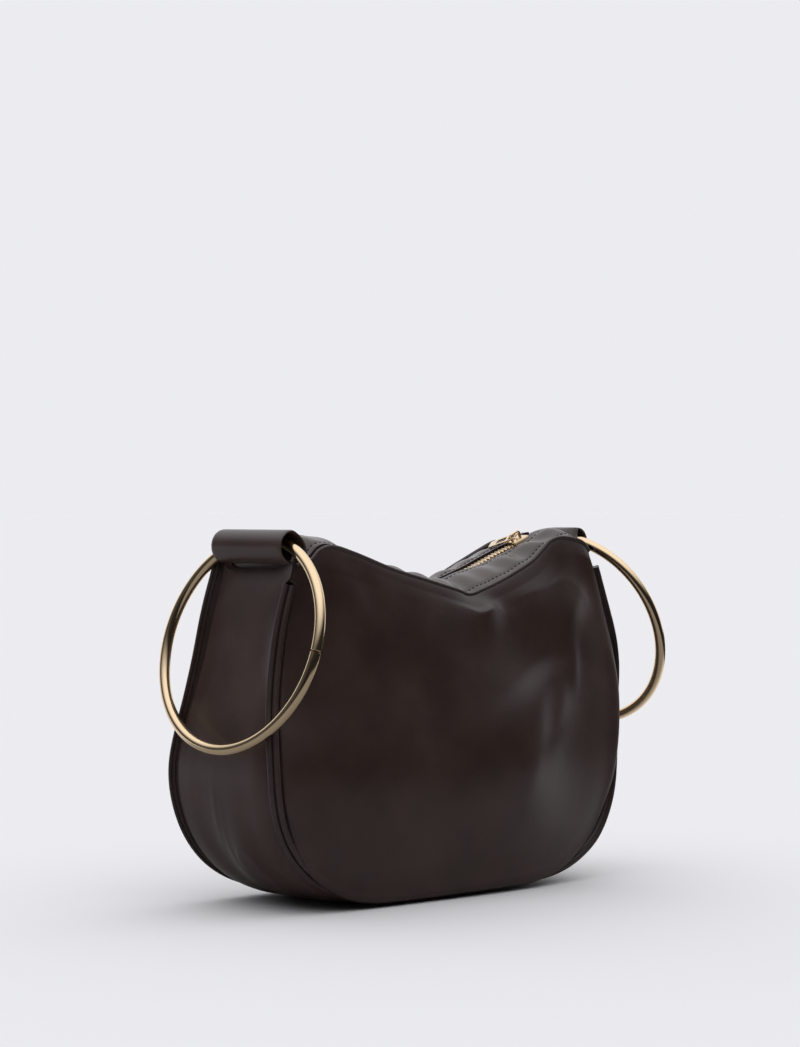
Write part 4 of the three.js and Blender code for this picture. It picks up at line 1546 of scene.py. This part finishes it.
def scratch_group():
    """Hair scratches and smudges of polished metal."""
    group = bpy.data.node_groups.get("Hair scratches")
    if group:
        return group
    group, given, result = new_group(
        "Hair scratches",
        [("Vector", "NodeSocketVector", None)],
        [("Height", "NodeSocketFloat"), ("Smudge", "NodeSocketFloat")],
    )
    stretch = group.nodes.new("ShaderNodeMapping")
    stretch.inputs["Scale"].default_value = FINISH["scratch_stretch"]
    group.links.new(given.outputs["Vector"], stretch.inputs["Vector"])
    fine = noise_node(group, stretch.outputs[0], *NOISE["scratches"])
    smudge = noise_node(group, given.outputs["Vector"], *NOISE["smudges"])
    group.links.new(fine, result.inputs["Height"])
    group.links.new(smudge, result.inputs["Smudge"])
    return group


def new_material(name):
    """A material with only a Principled shader, and its tree, shader and Object coordinates."""
    material = bpy.data.materials.new(name)
    material.use_nodes = True
    tree = material.node_tree
    shader = tree.nodes["Principled BSDF"]
    coordinates = tree.nodes.new("ShaderNodeTexCoord").outputs["Object"]
    return material, tree, shader, coordinates


def put_group(tree, group, coordinates):
    node = tree.nodes.new("ShaderNodeGroup")
    node.node_tree = group
    tree.links.new(coordinates, node.inputs["Vector"])
    return node


def bumped(tree, shader, height, relief):
    bump = tree.nodes.new("ShaderNodeBump")
    bump.inputs["Distance"].default_value = relief
    bump.inputs["Strength"].default_value = 1
    tree.links.new(height, bump.inputs["Height"])
    tree.links.new(bump.outputs["Normal"], shader.inputs["Normal"])


def range_node(tree, value, start, end, low, high):
    """A node that maps a value from between start and end to between low and high."""
    node = tree.nodes.new("ShaderNodeMapRange")
    for label, number in (("From Min", start), ("From Max", end), ("To Min", low), ("To Max", high)):
        node.inputs[label].default_value = number
    tree.links.new(value, node.inputs["Value"])
    return node


def ranged(tree, noise, low, high):
    """A noise spread out from low to high."""
    return range_node(tree, noise, *NOISE_RANGE, low, high).outputs[0]


def soft_step(tree, value, dark_at, bright_at, dark, bright):
    """Brightness that goes smoothly from dark to bright between two values."""
    node = range_node(tree, value, dark_at, bright_at, dark, bright)
    node.interpolation_type = "SMOOTHSTEP"
    return node.outputs[0]


def mixed(tree, share, first, second):
    """Colour mixed from two, each a socket or a colour."""
    node = tree.nodes.new("ShaderNodeMix")
    node.data_type = "RGBA"
    tree.links.new(share, node.inputs["Factor"])
    for label, value in (("A", first), ("B", second)):
        socket = [s for s in node.inputs if s.name == label and s.type == "RGBA"][0]
        if isinstance(value, bpy.types.NodeSocket):
            tree.links.new(value, socket)
        else:
            socket.default_value = (*value, 1)
    return [s for s in node.outputs if s.type == "RGBA"][0]


def leather_material(name, grain_size, wear, roughness=0.34, shine=0.6, shade=1):
    """Smooth satin leather.

    grain_size is in millimetres, wear is how far its edges are rubbed, shine is how strongly it mirrors,
    and shade darkens it: a darker tone of the leather on the panels and gusset, and on the welts partly a
    darker leather and partly painted shade.
    """
    looks = bpy.context.scene.handbag_looks
    material, tree, shader, coordinates = new_material(name)
    grain = put_group(tree, grain_group(), coordinates)
    grain.inputs["Cells per metre"].default_value = 1 / (grain_size * MM)
    rubbed = put_group(tree, wear_group(), coordinates)
    rubbed.inputs["Amount"].default_value = wear
    edge = tree.nodes.new("ShaderNodeAttribute")
    edge.attribute_name = "wear"
    tree.links.new(edge.outputs["Fac"], rubbed.inputs["Edge"])
    # shade darkens the tones: on the welts this is partly painted shade
    tones = [[channel * tone * shade for channel in looks.leather] for tone in FINISH["leather_tones"]]
    colour = mixed(tree, ranged(tree, grain.outputs["Tone"], 0, 1), *tones)
    colour = mixed(tree, rubbed.outputs["Mask"], colour, looks.leather_light)
    tree.links.new(colour, shader.inputs["Base Color"])
    spread = FINISH["leather_rough"]
    rough = ranged(tree, grain.outputs["Tone"], roughness - spread, roughness + spread)
    tree.links.new(rough, shader.inputs["Roughness"])
    shader.inputs["Specular IOR Level"].default_value = shine
    bumped(tree, shader, grain.outputs["Height"], looks.grain)
    return material


def thread_material():
    """Dark twisted sewing thread."""
    material, tree, shader, coordinates = new_material("sewing_thread")
    looks = bpy.context.scene.handbag_looks
    twist = noise_node(tree, coordinates, *NOISE["thread"])
    dark = [channel * FINISH["thread_dark"] for channel in looks.thread]
    tree.links.new(mixed(tree, twist, dark, looks.thread), shader.inputs["Base Color"])
    tree.links.new(ranged(tree, twist, *FINISH["thread_rough"]), shader.inputs["Roughness"])
    bumped(tree, shader, twist, FINISH["thread_relief"])
    return material


def tape_material():
    """Ribbed woven tape."""
    material, tree, shader, coordinates = new_material("zip_tape_weave")
    looks = bpy.context.scene.handbag_looks
    weave = tree.nodes.new("ShaderNodeTexWave")
    weave.wave_type = "BANDS"
    weave.bands_direction = "DIAGONAL"
    weave.inputs["Scale"].default_value = FINISH["tape_ribs"]
    weave.inputs["Distortion"].default_value = FINISH["tape_waver"]
    tree.links.new(coordinates, weave.inputs["Vector"])
    ribs = weave.outputs["Fac"]
    dark = [channel * FINISH["tape_dark"] for channel in looks.tape]
    tree.links.new(mixed(tree, ribs, dark, looks.tape), shader.inputs["Base Color"])
    tree.links.new(ranged(tree, ribs, *FINISH["tape_rough"]), shader.inputs["Roughness"])
    bumped(tree, shader, ribs, FINISH["tape_relief"])
    return material


def gold_material(name, roughness):
    """Polished light gold with hair scratches."""
    material, tree, shader, coordinates = new_material(name)
    looks = bpy.context.scene.handbag_looks
    scratches = put_group(tree, scratch_group(), coordinates)
    smudge = scratches.outputs["Smudge"]
    dark = [channel * FINISH["gold_dark"] for channel in looks.gold]
    tree.links.new(mixed(tree, smudge, dark, looks.gold), shader.inputs["Base Color"])
    least, most = (roughness * share for share in FINISH["gold_rough"])
    tree.links.new(ranged(tree, smudge, least, most), shader.inputs["Roughness"])
    shader.inputs["Metallic"].default_value = 1
    bumped(tree, shader, scratches.outputs["Height"], FINISH["gold_relief"])
    return material


def make_camera(stage):
    """The camera at the photograph's viewing angle."""
    a, e = stage.azimuth, stage.tilt
    forward = Vector((math.sin(a) * math.cos(e), math.cos(a) * math.cos(e), -math.sin(e)))
    right = Vector((math.cos(a), -math.sin(a), 0))
    up = right.cross(forward)
    across = (PHOTO["aim_pixel"][0] - PHOTO["width"] / 2) / PHOTO["focal"]
    down = (PHOTO["aim_pixel"][1] - PHOTO["height"] / 2) / PHOTO["focal"]
    aim = Vector(MIDDLE + PHOTO["aim"]) * MM
    data = bpy.data.cameras.new("camera")
    data.sensor_width = SENSOR
    data.lens = PHOTO["focal"] * SENSOR / max(PHOTO["width"], PHOTO["height"])
    camera = new_object("camera", data)
    camera.location = aim - (forward + right * across - up * down) * stage.distance
    camera.rotation_euler = forward.to_track_quat("-Z", "Y").to_euler()
    bpy.context.scene.camera = camera
    return forward, right


def dot_node(tree, vector, direction):
    node = tree.nodes.new("ShaderNodeVectorMath")
    node.operation = "DOT_PRODUCT"
    node.inputs[1].default_value = direction
    tree.links.new(vector, node.inputs[0])
    return node.outputs["Value"]


def make_floor(stage, forward, right):
    """A pale floor that the camera sees all of.

    The bag is lit by a sheet of it, which runs out of sight behind and on the left and ends in front and
    on the right. Its smooth pieces mirror only a share of what lies in front of it.
    """
    far = FLOOR["half"]
    mesh = bpy.data.meshes.new("floor")
    mesh.from_pydata([(-far, -far, 0), (far, -far, 0), (far, far, 0), (-far, far, 0)], [], [(0, 1, 2, 3)])
    material, tree, shader, coordinates = new_material("pale_floor")
    depth = dot_node(tree, coordinates, forward)
    aside = dot_node(tree, coordinates, right)
    from_camera = math_node(tree, "ADD", depth, stage.distance)
    spread = math_node(tree, "MULTIPLY", from_camera, FLOOR["widening"])
    outside = math_node(tree, "SUBTRACT", aside, spread)
    front = soft_step(tree, depth, *FLOOR["near"], FLOOR["beyond"], 1)
    side = soft_step(tree, outside, *FLOOR["right"], FLOOR["beyond"], 1)
    light_path = tree.nodes.new("ShaderNodeLightPath")
    sheet = math_node(tree, "MINIMUM", front, side)
    sheet = math_node(tree, "MAXIMUM", sheet, light_path.outputs["Is Camera Ray"])
    lost = soft_step(tree, depth, *FLOOR["mirrored"], 1 - stage.floor_glow, 0)
    lost = math_node(tree, "MULTIPLY", light_path.outputs["Is Glossy Ray"], lost)
    glow = math_node(tree, "SUBTRACT", 1, lost)
    share = math_node(tree, "MULTIPLY", math_node(tree, "MULTIPLY", sheet, glow), stage.floor_share)
    tree.links.new(share, shader.inputs["Base Color"])
    shader.inputs["Roughness"].default_value = 1
    shader.inputs["Specular IOR Level"].default_value = 0
    mesh.materials.append(material)
    new_object("floor", mesh)


def make_light(stage, forward, right):
    """Soft light: a bright ceiling, a wall behind the bag and a window on the left of a dark room."""
    world = bpy.data.worlds.new("studio")
    world.use_nodes = True
    bpy.context.scene.world = world
    tree = world.node_tree
    light = tree.nodes["Background"]
    direction = tree.nodes.new("ShaderNodeTexCoord").outputs["Generated"]
    wall = soft_step(tree, dot_node(tree, direction, forward), *LIGHT["wall"], stage.room, stage.wall)
    window = soft_step(tree, dot_node(tree, direction, right), *LIGHT["window"], 0, stage.window)
    ceiling = soft_step(tree, dot_node(tree, direction, (0, 0, 1)), *LIGHT["ceiling"], 0, stage.ceiling)
    sky = math_node(tree, "MAXIMUM", math_node(tree, "MAXIMUM", wall, window), ceiling)
    seen = tree.nodes.new("ShaderNodeLightPath").outputs["Is Camera Ray"]
    glow = tree.nodes.new("ShaderNodeCombineXYZ")
    for label, channel in zip("XYZ", stage.backdrop):
        tree.links.new(math_node(tree, "MULTIPLY", sky, channel / stage.backdrop[0]), glow.inputs[label])
    tree.links.new(mixed(tree, seen, glow.outputs[0], stage.backdrop), light.inputs["Color"])


class HANDBAG_OT_stage(bpy.types.Operator):
    """Set the floor, the light and the camera."""

    bl_idname = "handbag.stage"
    bl_label = "Stage"

    def execute(self, context):
        stage = context.scene.handbag_stage
        forward, right = make_camera(stage)
        make_floor(stage, forward, right)
        make_light(stage, forward, right)
        context.scene.view_settings.view_transform = "Standard"
        return {"FINISHED"}


OPERATORS = (
    HANDBAG_OT_stage,
    HANDBAG_OT_panels,
    HANDBAG_OT_gusset,
    HANDBAG_OT_welts,
    HANDBAG_OT_facings,
    HANDBAG_OT_stitches,
    HANDBAG_OT_zip_tape,
    HANDBAG_OT_zip_teeth,
    HANDBAG_OT_slider,
    HANDBAG_OT_tabs,
    HANDBAG_OT_rings,
)


class HANDBAG_PT_panel(bpy.types.Panel):
    """Handbag tools in the 3D view's sidebar."""

    bl_idname = "HANDBAG_PT_panel"
    bl_label = "Handbag"
    bl_space_type = "VIEW_3D"
    bl_region_type = "UI"
    bl_category = "Handbag"

    def draw(self, context):
        for owner in (context.scene.handbag_looks, context.scene.handbag_stage):
            for name in owner.bl_rna.properties.keys():
                if name not in ("rna_type", "name"):
                    self.layout.prop(owner, name)
        for operator in OPERATORS:
            self.layout.operator(operator.bl_idname)


CLASSES = (HandbagLooks, HandbagStage, *OPERATORS, HANDBAG_PT_panel)


def register():
    for cls in CLASSES:
        bpy.utils.register_class(cls)
    bpy.types.Scene.handbag_looks = PointerProperty(type=HandbagLooks)
    bpy.types.Scene.handbag_stage = PointerProperty(type=HandbagStage)


def unregister():
    del bpy.types.Scene.handbag_stage
    del bpy.types.Scene.handbag_looks
    for cls in reversed(CLASSES):
        bpy.utils.unregister_class(cls)


def main():
    register()
    for operator in OPERATORS:
        group, name = operator.bl_idname.split(".")
        getattr(getattr(bpy.ops, group), name)()
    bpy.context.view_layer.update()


if __name__ == "__main__":
    main()
